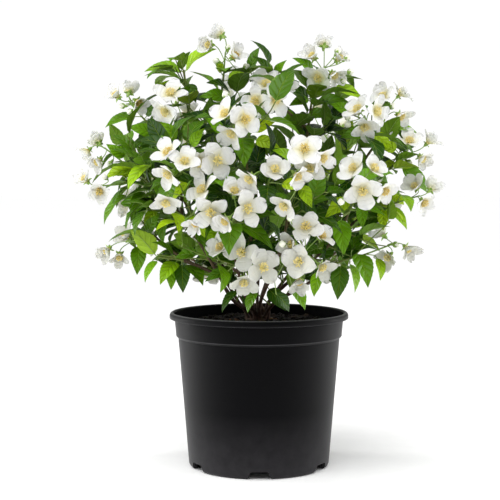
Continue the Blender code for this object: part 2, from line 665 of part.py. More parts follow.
def pot_profile():
    """The pot's wall: up the outside from the middle of the underside, and down the inside."""
    inner_foot = BODY_FOOT_RADIUS - FOOT_FILLET - FOOT_WIDTH
    return (
        (0, FLOOR_UNDERSIDE),
        (inner_foot + FOOT_FILLET, FLOOR_UNDERSIDE),
        (inner_foot + FOOT_FILLET, FOOT_FILLET),
        (inner_foot, 0),
        (BODY_FOOT_RADIUS - FOOT_FILLET, 0),
        (BODY_FOOT_RADIUS, FOOT_FILLET),
        (BODY_TOP_RADIUS, COLLAR_FOOT - COLLAR_STEP),
        (COLLAR_FOOT_RADIUS, COLLAR_FOOT),
        (COLLAR_TOP_RADIUS, POT_HEIGHT - LIP_HEIGHT),
        (LIP_RADIUS - LIP_ROUND, POT_HEIGHT - LIP_HEIGHT),
        (LIP_RADIUS, POT_HEIGHT - LIP_HEIGHT * 0.4),
        (CREST_RADIUS, POT_HEIGHT),
        (CREST_RADIUS - LIP_WIDTH / 2, POT_HEIGHT - LIP_HEIGHT * 0.3),
        (COLLAR_TOP_RADIUS - WALL, POT_HEIGHT - LIP_HEIGHT),
        (BODY_TOP_RADIUS - WALL, COLLAR_FOOT - COLLAR_STEP),
        (BODY_FOOT_RADIUS - WALL, FLOOR_UNDERSIDE + FLOOR_THICKNESS),
        (0, FLOOR_UNDERSIDE + FLOOR_THICKNESS),
    )


def notch_cutter(number):
    """A tapered block that cuts one drain notch through the foot of the wall and the floor's rim."""
    shape = bmesh.new()
    section = ((-NOTCH_FOOT_WIDTH / 2, -FLOOR_UNDERSIDE), (NOTCH_FOOT_WIDTH / 2, -FLOOR_UNDERSIDE),
               (NOTCH_TOP_WIDTH / 2, NOTCH_HEIGHT), (-NOTCH_TOP_WIDTH / 2, NOTCH_HEIGHT))
    ends = []
    for reach in (NOTCH_INNER_RADIUS, BODY_FOOT_RADIUS + NOTCH_OVERSHOOT):
        ends.append([shape.verts.new((half, -reach, height)) for half, height in section])
    shape.faces.new(ends[0])
    shape.faces.new(reversed(ends[1]))
    for k in range(4):
        n = (k + 1) % 4
        shape.faces.new((ends[0][n], ends[0][k], ends[1][k], ends[1][n]))
    bmesh.ops.recalc_face_normals(shape, faces=shape.faces)
    bmesh.ops.rotate(shape, verts=shape.verts, cent=(0, 0, 0),
                     matrix=Matrix.Rotation(2 * math.pi * number / NOTCHES, 3, "Z"))
    mesh = bpy.data.meshes.new("notch_cutter")
    shape.to_mesh(mesh)
    shape.free()
    cutter = bpy.data.objects.new("notch_cutter", mesh)
    bpy.context.scene.collection.objects.link(cutter)
    cutter.hide_render = True
    cutter.display_type = "WIRE"
    return cutter


def build_pot():
    pot = turned("pot", pot_profile(), POT_SIDES)
    for number in range(NOTCHES):
        cut = pot.modifiers.new(f"notch_{number + 1}", "BOOLEAN")
        cut.operation = "DIFFERENCE"
        cut.object = notch_cutter(number)
    pot.data.materials.append(material("pot_charcoal_plastic", (0.018, 0.018, 0.024), 0.42))
    return pot


def build_soil():
    """The root ball: it fills the pot's inside and has a plain hole for the crown."""
    ease = GAP * 1.5
    shoulder = COLLAR_FOOT - COLLAR_STEP
    top_inside = COLLAR_TOP_RADIUS - WALL
    climb = (SOIL_EDGE - shoulder) / (POT_HEIGHT - LIP_HEIGHT - shoulder)
    edge = BODY_TOP_RADIUS - WALL + (top_inside - BODY_TOP_RADIUS + WALL) * climb
    foot = FLOOR_UNDERSIDE + FLOOR_THICKNESS + GAP
    hole = CROWN_RADIUS + ease
    soil = turned("soil", (
        (0, foot), (BODY_FOOT_RADIUS - WALL - ease, foot), (BODY_TOP_RADIUS - WALL - ease, shoulder),
        (edge - ease, SOIL_EDGE), (hole, SOIL_MOUND), (hole, CROWN_FOOT - GAP),
        (0, CROWN_FOOT - GAP)), POT_SIDES)
    soil.data.materials.append(material("soil_peat_and_bark", (0.030, 0.017, 0.010), 0.95))
    return soil


class Bush:
    """Works out where every cane, twig, leaf and flower goes, and gathers their solids."""

    def __init__(self):
        self.draw = random.Random(SEED)
        self.grown = Grown()
        self.canes = {}
        self.wood = []
        self.shoots = {}
        self.sprays = {}

    def grow_canes(self):
        crown = tube([Vector((0, 0, CROWN_FOOT)), Vector((0, 0, CROWN_TOP))],
                     [CROWN_RADIUS, CROWN_RADIUS], CROWN_SIDES)
        self.wood.append(crown)
        for cane in CANES:
            outer = [photo_point(*point) for point in cane.points]
            if cane.parent is None:
                way = Vector((outer[0].x, outer[0].y, 0)).normalized()
                foot = way * CROWN_RADIUS * 0.45 + Vector((0, 0, CANE_FOOT))
                rise = way * CROWN_RADIUS * 0.72 + Vector((0, 0, CANE_RISE))
                points = [foot, rise] + outer
                first = CANE_RADIUS
            else:
                points = [branching_place(self.canes[cane.parent], outer[0])] + outer
                first = CANE_RADIUS * 0.8
            count = len(points) - 1
            radii = [first + (CANE_TIP_RADIUS - first) * k / count for k in range(count + 1)]
            self.canes[cane.name] = points
            self.wood.append(tube(points, radii, CANE_SIDES))

    def grow_shoot(self, shoot):
        """One leafy shoot: its woody side branch if it has one, and its green twigs."""
        cane = self.canes[shoot.cane]
        if shoot.start is None:
            start = cane[-1]
            way = (cane[-1] - cane[-2]).normalized()
        else:
            start = photo_point(*shoot.start, shoot.depth)
            foot = branching_place(cane, start)
            way = (start - foot).normalized()
            self.wood.append(tube([foot, start], [BRANCH_RADIUS * 1.15, BRANCH_RADIUS], TWIG_SIDES))
        start = start + way * GAP
        twigs = []
        ends = []
        for name in shoot.sprays:
            spray = next(row for row in SPRAYS if row.name == name)
            back = self.spray_back(spray)
            end = start + (back - start) * TWIG_SHARE
            end_way = (back - end).normalized()
            if twigs:
                fork, fork_way = along_line(twigs[0], FORK_SHARE)
                points = curve_points(sunk(end, fork), fork_way, end, end_way, 3)
            else:
                points = curve_points(start, way, end, end_way, 4)
            twigs.append(points)
            ends.append(end_way)
            self.sprays[name] = (end, end_way, back)
        if shoot.tip is not None:
            end = photo_point(*shoot.tip, shoot.depth)
            ends.append((end - start).normalized())
            twigs.append(curve_points(start, way, end, ends[-1], 4))
        solids = []
        for number, (points, end_way) in enumerate(zip(twigs, ends)):
            count = len(points) - 1
            first = TWIG_RADIUS if number == 0 else TWIG_TIP_RADIUS
            radii = [first + (TWIG_TIP_RADIUS - first) * k / count for k in range(count + 1)]
            start_way = way if number == 0 else None
            solids.append(tube(points, radii, TWIG_SIDES, start_way, end_way))
        self.shoots[shoot.name] = (twigs, solids)

    def spray_back(self, spray):
        """The place behind the middle of a spray's flowers, where its axis ends."""
        backs = [self.bloom_place(spray, bloom, 0) - facing(bloom.face) * BLOOM_BACK
                 for bloom in spray.blooms]
        return sum(backs, Vector()) / len(backs)

    def bloom_place(self, spray, bloom, more):
        """Where a flower sits: at its own pixel, and at the depth that its spray keeps."""
        cols = [row.col for row in spray.blooms]
        rows = [row.row for row in spray.blooms]
        depth = dome_depth(sum(cols) / len(cols), sum(rows) / len(rows), spray.share)
        return photo_point(bloom.col, bloom.row, depth + bloom.ahead + more)

    def grow_spray(self, spray):
        """One flower spray: its axis, its flowers and its buds."""
        end, end_way, back = self.sprays[spray.name]
        start = end + end_way * GAP
        points = [start, start + (back - start) * 0.55, back]
        node = "spray_" + spray.name
        solids = [tube(points, [AXIS_RADIUS, AXIS_RADIUS, AXIS_TIP_RADIUS], TWIG_SIDES)]
        self.grown.add(solids[0], node, "axis")
        carriers = {(node, "axis")}
        crowd = carriers | {(node, "bloom"), (node, "bud")}
        for number, bloom in enumerate(spray.blooms):
            radius = BLOOM_RADIUS * bloom.size * self.draw.uniform(0.94, 1.06)
            twist = self.draw.uniform(0, math.pi / 2)
            options = list(self.bloom_options(spray, bloom, points, number, twist, radius))
            solid = self.grown.first_clear(options, node, "bloom", carriers)
            if solid is None:
                solid = self.grown.first_clear(options, node, "bloom", crowd)
            if solid is not None:
                solids.append(solid)
        for number, (col, row) in enumerate(spray.buds):
            options = self.bud_options(spray, col, row, points, number)
            solid = self.grown.first_clear(options, node, "bud", crowd)
            if solid is not None:
                solids.append(solid)
        return solids

    def bloom_options(self, spray, bloom, points, number, twist, radius):
        """The same flower at other depths, and with its stalk rooted elsewhere on the axis."""
        way = facing(bloom.face)
        rise = CUP_RISE * max(0, 1 - bloom.size)
        for more in DEPTH_TRIALS:
            place = self.bloom_place(spray, bloom, more)
            for share in ROOT_TRIALS:
                root, _ = along_line(points, share - 0.03 * number)
                root = sunk(place - way * BLOOM_NECK, root)
                yield bloom_solid(place, way, twist, root, radius, rise)

    def bud_options(self, spray, col, row, points, number):
        """A bud at several depths, that points away from the axis and out of the bush."""
        depth = dome_depth(col, row, spray.share)
        for more in DEPTH_TRIALS:
            place = photo_point(col, row, depth + more)
            for share in ROOT_TRIALS:
                root, _ = along_line(points, share - 0.05 - 0.03 * number)
                way = (place - root).normalized() * 1.2 + (place - DOME_CENTRE).normalized()
                way.normalize()
                yield bud_solid(place, way, sunk(place, root))

    def read_leaf_options(self, leaf, points, number):
        """A leaf whose base and tip are read off the photograph, at several depths and leans."""
        near = nearest_seen(points, leaf.col, leaf.row)
        for more in DEPTH_TRIALS:
            for lean in LEAN_TRIALS:
                depth = -1000 * near.y + more
                base = photo_point(leaf.col, leaf.row, depth)
                tip = photo_point(leaf.tip_col, leaf.tip_row, depth + leaf.lean + lean)
                along = (tip - base).normalized()
                root = self.leaf_root(points, base, along, number)
                if (base - root).length < STALK_LENGTH:
                    base = root + along * STALK_LENGTH
                yield self.turned_leaf(sunk(base, root), base, tip, leaf.width)

    def leaf_root(self, points, base, along, number):
        """Where on a twig the stalk roots: near the leaf's base, and behind it on its own line."""
        best, least = None, None
        for k in range(25):
            spot, _ = along_line(points, 0.04 + 0.92 * (k + 0.1 * number) / 25)
            reach = base - spot
            bend = 1 - reach.normalized().dot(along) if reach.length > 0 else 1
            cost = reach.length + 0.022 * bend
            if least is None or cost < least:
                best, least = spot, cost
        return best

    def turned_leaf(self, root, base, tip, seen_width):
        """A leaf rolled about its midrib until it looks as wide as it does in the photograph."""
        length = (tip - base).length
        half = length * LEAF_RATIO / 2
        half = min(LEAF_MOST_HALF_WIDTH, max(LEAF_LEAST_HALF_WIDTH, half))
        scale = (base - EYE).length / PHOTO_FOCAL
        share = min(1.0, max(0.2, seen_width * scale / (2 * half)))
        along = (tip - base).normalized()
        view = (EYE - base).normalized()
        flat = along.cross(view).normalized()
        deep = along.cross(flat).normalized()
        roll = math.acos(share)
        choices = []
        for sign in (1, -1):
            side = flat * math.cos(roll) + deep * (sign * math.sin(roll))
            normal = side.cross(along).normalized()
            if normal.dot(view) < 0:
                normal = normal * -1
            choices.append(normal)
        normal = max(choices, key=lambda way: way.z)
        return leaf_solid(root, base, tip, half, normal)

    def grow_read_leaves(self, shoot):
        """The leaves that the photograph shows, each on the twig that looks nearest to it."""
        twigs, solids = self.shoots[shoot.name]
        node = "shoot_" + shoot.name
        for number, leaf in enumerate(shoot.leaves):
            points = min(twigs, key=lambda twig: seen_gap(nearest_seen(twig, leaf.col, leaf.row),
                                                          leaf.col, leaf.row))
            options = self.read_leaf_options(leaf, points, number)
            solid = self.grown.first_clear(options, node, "leaf", {(node, "twig")})
            if solid is not None:
                solids.append(solid)

    def grow_ruled_leaves(self, points, node, count):
        """Opposite pairs of leaves along a twig, each pair a quarter turn from the last."""
        solids = []
        for number in range(count):
            share = 0.22 + 0.74 * number / max(1, count - 1)
            turn = math.pi / 2 * number + self.draw.uniform(-0.3, 0.3)
            for side in (0, 1):
                place, way = along_line(points, share + 0.02 * side)
                length = self.draw.uniform(0.042, 0.060)
                draws = [(self.draw.uniform(-0.35, 0.35), self.draw.uniform(-0.25, 0.25))
                         for trial in range(RULED_TRIALS)]
                options = self.ruled_leaf_options(place, way, turn + math.pi * side, length, draws)
                solid = self.grown.first_clear(options, node, "leaf", {(node, "twig")})
                if solid is not None:
                    solids.append(solid)
        return solids

    def ruled_leaf_options(self, place, way, turn, length, draws):
        """A leaf that leaves its twig sideways, arches outward and hangs a little."""
        first, second = square_to(way)
        arm = first * math.cos(turn) + second * math.sin(turn)
        out = (place - DOME_CENTRE).normalized()
        for rise, swing in draws:
            aim = arm + way * (0.45 + rise) + out * 0.35 + first * swing + Vector((0, 0, -0.25))
            aim.normalize()
            base = place + aim * STALK_LENGTH
            if in_open_sky(base + aim * length * 0.5) or in_open_sky(base + aim * length):
                continue
            normal = Vector((0, 0, 0.9)) + out * 0.6
            yield leaf_solid(sunk(base, place), base, base + aim * length, length * LEAF_RATIO / 2,
                             normal)


def sunk(place, root):
    """A root carried a little past the middle of what it grows from."""
    return root + (root - place).normalized() * ROOT_DEPTH


def branching_place(points, place):
    """Where a side branch to a place leaves a cane: some way down from the nearest point."""
    total = sum((b - a).length for a, b in zip(points, points[1:]))
    shares = [k / 60 for k in range(61)]
    nearest = min(shares, key=lambda share: (along_line(points, share)[0] - place).length)
    spot, _ = along_line(points, max(0.1, nearest - BRANCH_DROP / total))
    return spot


def seen_gap(spot, col, row):
    """How far a place is from a pixel's line of sight, in the place's own depth."""
    return (photo_point(col, row, -1000 * spot.y) - spot).length


def in_open_sky(spot):
    return any(seen_gap(spot, col, row) < reach for col, row, reach in OPEN_SKY)


def nearest_seen(points, col, row):
    """The place on a line of points that looks nearest to a pixel."""
    spots = [along_line(points, k / 40)[0] for k in range(41)]
    return min(spots, key=lambda spot: seen_gap(spot, col, row))


def along_line(points, share):
    """Place and direction at a share of a line's length."""
    lengths = [(b - a).length for a, b in zip(points, points[1:])]
    left = share * sum(lengths)
    for a, b, length in zip(points, points[1:], lengths):
        if left <= length or b is points[-1]:
            way = (b - a).normalized()
            return a + way * min(left, length), way
        left -= length
    return points[-1], (points[-1] - points[-2]).normalized()


def build_plant():
    bush = Bush()
    bush.grow_canes()
    for shoot in SHOOTS:
        bush.grow_shoot(shoot)
    for solid in bush.wood:
        bush.grown.add(solid, "wood", "cane")
    for name, (_, solids) in bush.shoots.items():
        for solid in solids:
            bush.grown.add(solid, "shoot_" + name, "twig")

    bark = material("stem_bark", (0.075, 0.034, 0.020), 0.8)
    leaf_green = material("leaf_green", (0.085, 0.210, 0.012), 0.45)
    petal_white = material("petal_white", (0.86, 0.86, 0.82), 0.55)

    flower_solids = [bush.grow_spray(spray) for spray in SPRAYS]
    for shoot in SHOOTS:
        bush.grow_read_leaves(shoot)
    for shoot in SHOOTS:
        twigs, solids = bush.shoots[shoot.name]
        pairs = FRONT_PAIRS if shoot.leaves else BACK_PAIRS
        for points in twigs:
            solids += bush.grow_ruled_leaves(points, "shoot_" + shoot.name, pairs)

    fused("woody_stems", bush.wood, bark)
    for number, shoot in enumerate(SHOOTS, 1):
        fused(f"leafy_shoot_{number:02d}", bush.shoots[shoot.name][1], leaf_green)
    for number, solids in enumerate(flower_solids, 1):
        fused(f"flower_spray_{number:02d}", solids, petal_white)


def main():
    for old in list(bpy.data.objects):
        bpy.data.objects.remove(old)
    build_pot()
    build_soil()
    build_plant()


main()
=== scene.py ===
"""Potted mock orange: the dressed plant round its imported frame.

Metres, +Z up. The pot stands on z = 0 on the Z axis and its front faces -Y. Canes, shoots and
sprays follow the same places and rules as the part's source, and stay where their nodes are.
"""
import json
import math
import random
from collections import namedtuple

import bmesh
import bpy
import numpy as np
from mathutils import Matrix, Vector, noise
from mathutils.bvhtree import BVHTree
from mathutils.kdtree import KDTree

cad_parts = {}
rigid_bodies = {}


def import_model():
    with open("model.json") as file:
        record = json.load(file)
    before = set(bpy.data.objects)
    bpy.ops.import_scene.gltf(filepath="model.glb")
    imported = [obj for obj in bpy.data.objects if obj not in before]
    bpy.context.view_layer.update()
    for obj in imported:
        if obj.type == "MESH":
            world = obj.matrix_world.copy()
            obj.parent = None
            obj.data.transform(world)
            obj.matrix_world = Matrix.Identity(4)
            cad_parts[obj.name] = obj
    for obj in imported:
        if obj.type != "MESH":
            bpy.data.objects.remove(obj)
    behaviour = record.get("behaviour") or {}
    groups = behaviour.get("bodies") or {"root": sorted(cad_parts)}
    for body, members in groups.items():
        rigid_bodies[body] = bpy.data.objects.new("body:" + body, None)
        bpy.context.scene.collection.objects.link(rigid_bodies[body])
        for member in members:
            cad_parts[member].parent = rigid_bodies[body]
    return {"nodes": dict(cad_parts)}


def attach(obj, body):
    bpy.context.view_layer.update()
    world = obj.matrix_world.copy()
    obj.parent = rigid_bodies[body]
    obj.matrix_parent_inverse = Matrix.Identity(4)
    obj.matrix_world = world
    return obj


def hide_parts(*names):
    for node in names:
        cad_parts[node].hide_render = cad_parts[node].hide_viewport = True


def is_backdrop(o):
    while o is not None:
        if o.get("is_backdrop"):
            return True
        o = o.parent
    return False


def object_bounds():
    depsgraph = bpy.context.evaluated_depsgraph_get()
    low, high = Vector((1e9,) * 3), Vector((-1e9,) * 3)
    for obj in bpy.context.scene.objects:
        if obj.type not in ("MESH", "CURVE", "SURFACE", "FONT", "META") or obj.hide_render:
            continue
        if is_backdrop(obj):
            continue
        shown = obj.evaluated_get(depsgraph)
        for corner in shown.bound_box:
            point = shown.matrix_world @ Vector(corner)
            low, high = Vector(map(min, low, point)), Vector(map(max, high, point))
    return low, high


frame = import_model()
cad_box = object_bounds()

# Pot and soil
POT_HEIGHT = 0.224
LIP_RADIUS = 0.130
CREST_RADIUS = 0.1265
COLLAR_TOP_RADIUS = 0.1226
COLLAR_FOOT_RADIUS = 0.1205
BODY_TOP_RADIUS = 0.1174
BODY_FOOT_RADIUS = 0.1025
COLLAR_FOOT = 0.190
LIP_HEIGHT = 0.009
WALL = 0.0022
FOOT_RING = 0.092
FOOT_FILLET = 0.006
FLOOR_UNDERSIDE = 0.0125
FLOOR_TOP = 0.015
NOTCHES = 6
NOTCH_HEIGHT = 0.011
NOTCH_TOP_WIDTH = 0.026
NOTCH_FOOT_WIDTH = 0.038
NOTCH_INNER_RADIUS = 0.086
NOTCH_CORNER = 0.0025
POT_SIDES = 168
POT_SHARP = 32
SOIL_EDGE = 0.205
SOIL_MOUND = 0.2105
SOIL_SIDES = 150
SOIL_RINGS = 34
SOIL_SHARP = 60
SOIL_REACH = 0.117
SOIL_BUMPS = ((0.0022, 38), (0.0012, 120))
BARK_CHIPS = 620
CHIP_FIELD = 0.111
CHIP_LIMIT = 0.1125
CHIP_LENGTH = (0.003, 0.010)
CHIP_THICKNESS = (0.0009, 0.0020)
CHIP_SHARP = 25

# How rough the grain of every finish is
NOISE_ROUGHNESS = 0.6

# A painted reflection of the pale floor lightens the pot below this height
PAINTED_REFLECTION_HEIGHT = 0.09

# Painted highlights along the pot's edges: height, reach and strength
POT_PAINTED_HIGHLIGHTS = ((POT_HEIGHT, 0.0016, 0.50), (POT_HEIGHT - LIP_HEIGHT + 0.0010, 0.0012, 0.05),
                  (COLLAR_FOOT, 0.0010, 0.22))

# Wood, twigs and stalks; bark gives way to young wood between the heights of YOUNG_WOOD
YOUNG_WOOD = (0.27, 0.42)
CROWN_SIDES = 28
CROWN_RADIUS = 0.026
CANE_FOOT_SPREAD = 0.45
CANE_RISE_SPREAD = 0.72
CANE_FOOT = 0.196
CANE_RISE = 0.222
CANE_RADIUS = 0.0040
CANE_TIP_RADIUS = 0.0023
CANE_SLIM = 0.74
CANE_KNOT = 0.14
CANE_SWAY = 0.0009
CANE_STEPS = 12
CANE_SIDES = 9
BRANCH_SIDES = 8
TWIG_SIDES = 7
STALK_SIDES = 5
BRANCH_RADIUS = 0.0020
BRANCH_DROP = 0.022
BRANCH_STEPS = 60
SEEN_STEPS = 40
CURVE_HANDLE = 0.36
TWIG_SHARE = 0.58
TWIG_STEPS = 12
FORK_SHARE = 0.21
TWIG_RADIUS = 0.0017
TWIG_TIP_RADIUS = 0.0013
AXIS_RADIUS = 0.0012
AXIS_TIP_RADIUS = 0.0009
LEAF_STALK_RADIUS = 0.0007
FLOWER_STALK_RADIUS = 0.00055
GAP = 0.0003
ROOT_DEPTH = 0.0003
ROOT_STEPS = 25
ROOT_BEND_COST = 0.022

# Leaves
STALK_LENGTH = 0.006
LEAF_RATIO = 0.58
LEAF_ARCH = 0.10
LEAF_FOLD = 0.22
LEAF_LEAST_HALF_WIDTH = 0.009
LEAF_MOST_HALF_WIDTH = 0.017
MARK_THICKNESS = 0.0014
BLADE_THICKNESS = 0.0004
LEAF_WIDEST = 0.34
LEAF_GRID = (18, 8)
INNER_LEAF_GRID = (12, 6)
RULED_LEAF_LENGTH = (0.042, 0.060)
CANE_LEAF_LEAN = 9
# Painted shade: leaves low in the bush get darker tones, reaching their full tone over this rise
LOW_LEAF_HEIGHT = 0.25
LOW_LEAF_RISE = 0.15
LOW_LEAF_TONE = 0.35
LEAF_TEETH = 0.05

# Flowers and buds
BLOOM_RADIUS = 0.0225
BLOOM_NECK = 0.013
BLOOM_BACK = 0.020
CALYX_DEPTH = 0.0050
PETAL_FOOT = 0.0008
TUFT_HEIGHT = 0.0068
PETAL_THICKNESS = 0.00045
CUP_RISE = 0.0225
# Heights between which petals go from greyed by painted shade, low in the bush, to white
PAINTED_PETAL_SHADE_HEIGHTS = (0.28, 0.48)
PETAL_GRID = (12, 12)
PETAL_CUP = (0.85, 2.0)
PETAL_BREADTH = (0.41, 0.54)
PETAL_POINT = (0.46, 0.80)
SEPAL_GRID = (5, 4)
SEPAL_LENGTH = 0.0072
SEPAL_HALF_WIDTH = 0.0026
CALYX_TONE = 0.4
STAMENS = 46
BUD_RADIUS = 0.0046
BUD_LENGTH = 0.0115
BUD_SEPAL_SHARE = 0.62

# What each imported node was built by, and how its corners are matched
FRONT_PAIRS = 2
BACK_PAIRS = 6
RULED_TRIALS = 7
ROOT_TRIALS = (0.94, 0.75, 0.55, 0.35)
SEED = 11
MARK_REACH = 0.0002
DEPTH_TRIALS = (0, 7, -7, 14, -14, 21, -21, 30, -30, 40, -40, 55)
LEAN_TRIALS = (0, 10, -10, 22, -22)

# The view that the photograph's pixel places are read in, which is the camera's too
PHOTO_CENTRE = 250.0
PHOTO_FOCAL = 1250.0
PHOTO_SIDE = 500.0
SENSOR = 36.0
EYE = Vector((-0.013, -1.814, 0.4154))
EYE_PITCH = math.radians(3.207)

# Inner foliage: how far out and down it reaches, and the share of each line that stays bare
INNER_REACH = 0.88
SKIRT_HEIGHT = 0.262
BARE_CANE = 0.30
BARE_BRANCH = 0.2
BARE_TWIG = 0.12
INNER_TWIG_GAP = 0.030
INNER_TWIG_TRIALS = 3
INNER_TWIG_LENGTH = (0.035, 0.085)
INNER_TWIG_RADII = (0.0012, 0.0008)
INNER_TWIG_SIDES = 6
INNER_LEAF_TRIALS = 5
INNER_LEAF_LENGTH = (0.036, 0.060)
INNER_LEAF_SHARES = (0.3, 0.62, 0.96)
PROBE_RADIUS = 0.0012

# Painted shade: an inner leaf's tone rises to its full range from the bush's dark heart outwards
INNER_TONE = 0.62
INNER_DARK_SHARE = 0.50
INNER_LIT_RISE = 0.40

# Gaps that the photograph shows through the bush: column, row and radius in pixels
SEEN_GAPS = (
    (291, 53, 15), (202, 67, 12), (242, 50, 10), (139, 88, 9), (202, 41, 7), (370, 236, 7),
    (102, 254, 8), (94, 134, 8), (373, 90, 7), (402, 185, 7), (413, 251, 6), (134, 134, 6),
    (164, 278, 6), (324, 37, 6),
)

# Studio
WORLD_STRENGTH = 0.335
BACKDROP_BRIGHTNESS = 1.02
FLOOR_REACH = 30
LAMPS = (
    ("left_strip", (-2.2, 0.6, 0.9), (0, 0, 0.25), 0.7, 1.8, 22),
    ("right_strip", (2.2, 0.6, 0.9), (0, 0, 0.25), 0.7, 1.8, 22),
    ("left_low_strip", (-1.05, 0.38, 0.25), (0, 0, 0.15), 0.25, 0.5, 3.0),
    ("right_low_strip", (1.05, 0.38, 0.25), (0, 0, 0.15), 0.25, 0.5, 1.8),
    ("left_box", (-1.5, -0.70, 0.40), (0, 0, 0.25), 0.9, 0.8, 6.5),
    ("right_box", (1.5, -0.70, 0.40), (0, 0, 0.25), 0.9, 0.8, 5.0),
)
SUN_STRENGTH = 2.60
SUN_FROM = (-0.30, -0.72, 1.45)
SUN_SPREAD = math.radians(60)

# The bush's outer dome, as it shows in the photograph, and its depth
DOME_COL = 259.0
DOME_ROW = 168.0
DOME_HALF_COLS = 186.0
DOME_HALF_ROWS = 152.0
DOME_DEPTH = 0.225
DOME_EDGE = 0.2
DOME_CENTRE = Vector((0.0, 0.0, 0.40))

# Each letter turns a flower's face a way: Front, Behind, Left, Right, Up or Down
FACING = {
    "F": Vector((0, -1, 0)), "B": Vector((0, 1, 0)), "L": Vector((-1, 0, 0)),
    "R": Vector((1, 0, 0)), "U": Vector((0, 0, 1)), "D": Vector((0, 0, -1)),
}

# Places are photograph columns and rows, and depths are millimetres in front of the pot's axis
Cane = namedtuple("Cane", "name parent points")
Bloom = namedtuple("Bloom", "col row face ahead size", defaults=(0, 1.0))
Spray = namedtuple("Spray", "name share blooms buds")
Leaf = namedtuple("Leaf", "col row tip_col tip_row width lean", defaults=(8,))
Shoot = namedtuple("Shoot", "name cane start depth sprays leaves tip", defaults=(None,))

CANES = (
    Cane("low_left", None, ((232.7, 300, 45), (216, 271, 80), (199, 241, 105), (187, 227, 115))),
    Cane("mid_left", None, ((236, 298, 12), (205, 245, 25), (172, 205, 28), (148, 182, 15))),
    Cane("upper_left", None, ((241, 295, 0), (215, 235, 2), (185, 180, 5), (158, 136, 5))),
    Cane("top_left", None, ((247, 295, -12), (236, 230, -12), (226, 160, -5), (222, 98, 0))),
    Cane("top_middle", None, ((252, 296, 28), (251, 245, 58), (248, 200, 78), (247, 150, 75))),
    Cane("top_right", None, ((262, 295, -12), (286, 230, -12), (302, 170, 0), (311, 106, 0))),
    Cane("right", None, ((271, 299, 15), (315, 258, 32), (350, 226, 30), (370, 211, 22))),
    Cane("low_right", None, ((277, 301, 38), (296, 291, 58), (314, 279, 66), (329, 268, 66))),
    Cane("front", None, ((261, 301, 58), (272, 272, 100), (283, 240, 128), (288, 214, 135))),
    Cane("front_left", None, ((248, 302, 58), (241, 281, 92), (234, 255, 118), (229, 236, 122))),
    Cane("back_left", None, ((242, 299, -32), (219, 260, -68), (190, 212, -84), (172, 176, -84))),
    Cane("back_middle", None,
         ((257, 299, -40), (259, 250, -88), (256, 195, -116), (252, 150, -112))),
    Cane("back_right", None, ((271, 299, -32), (303, 255, -68), (334, 208, -88), (348, 172, -92))),
    Cane("left_branch", "low_left", ((192, 263, 62), (172, 251, 60), (154, 236, 52))),
    Cane("upper_right", "right", ((312, 240, 8), (346, 188, 8), (374, 146, 5))),
    Cane("back_low_left", "back_left", ((198, 262, -96), (176, 246, -118))),
    Cane("back_low_right", "back_right", ((324, 260, -96), (346, 243, -116))),
)

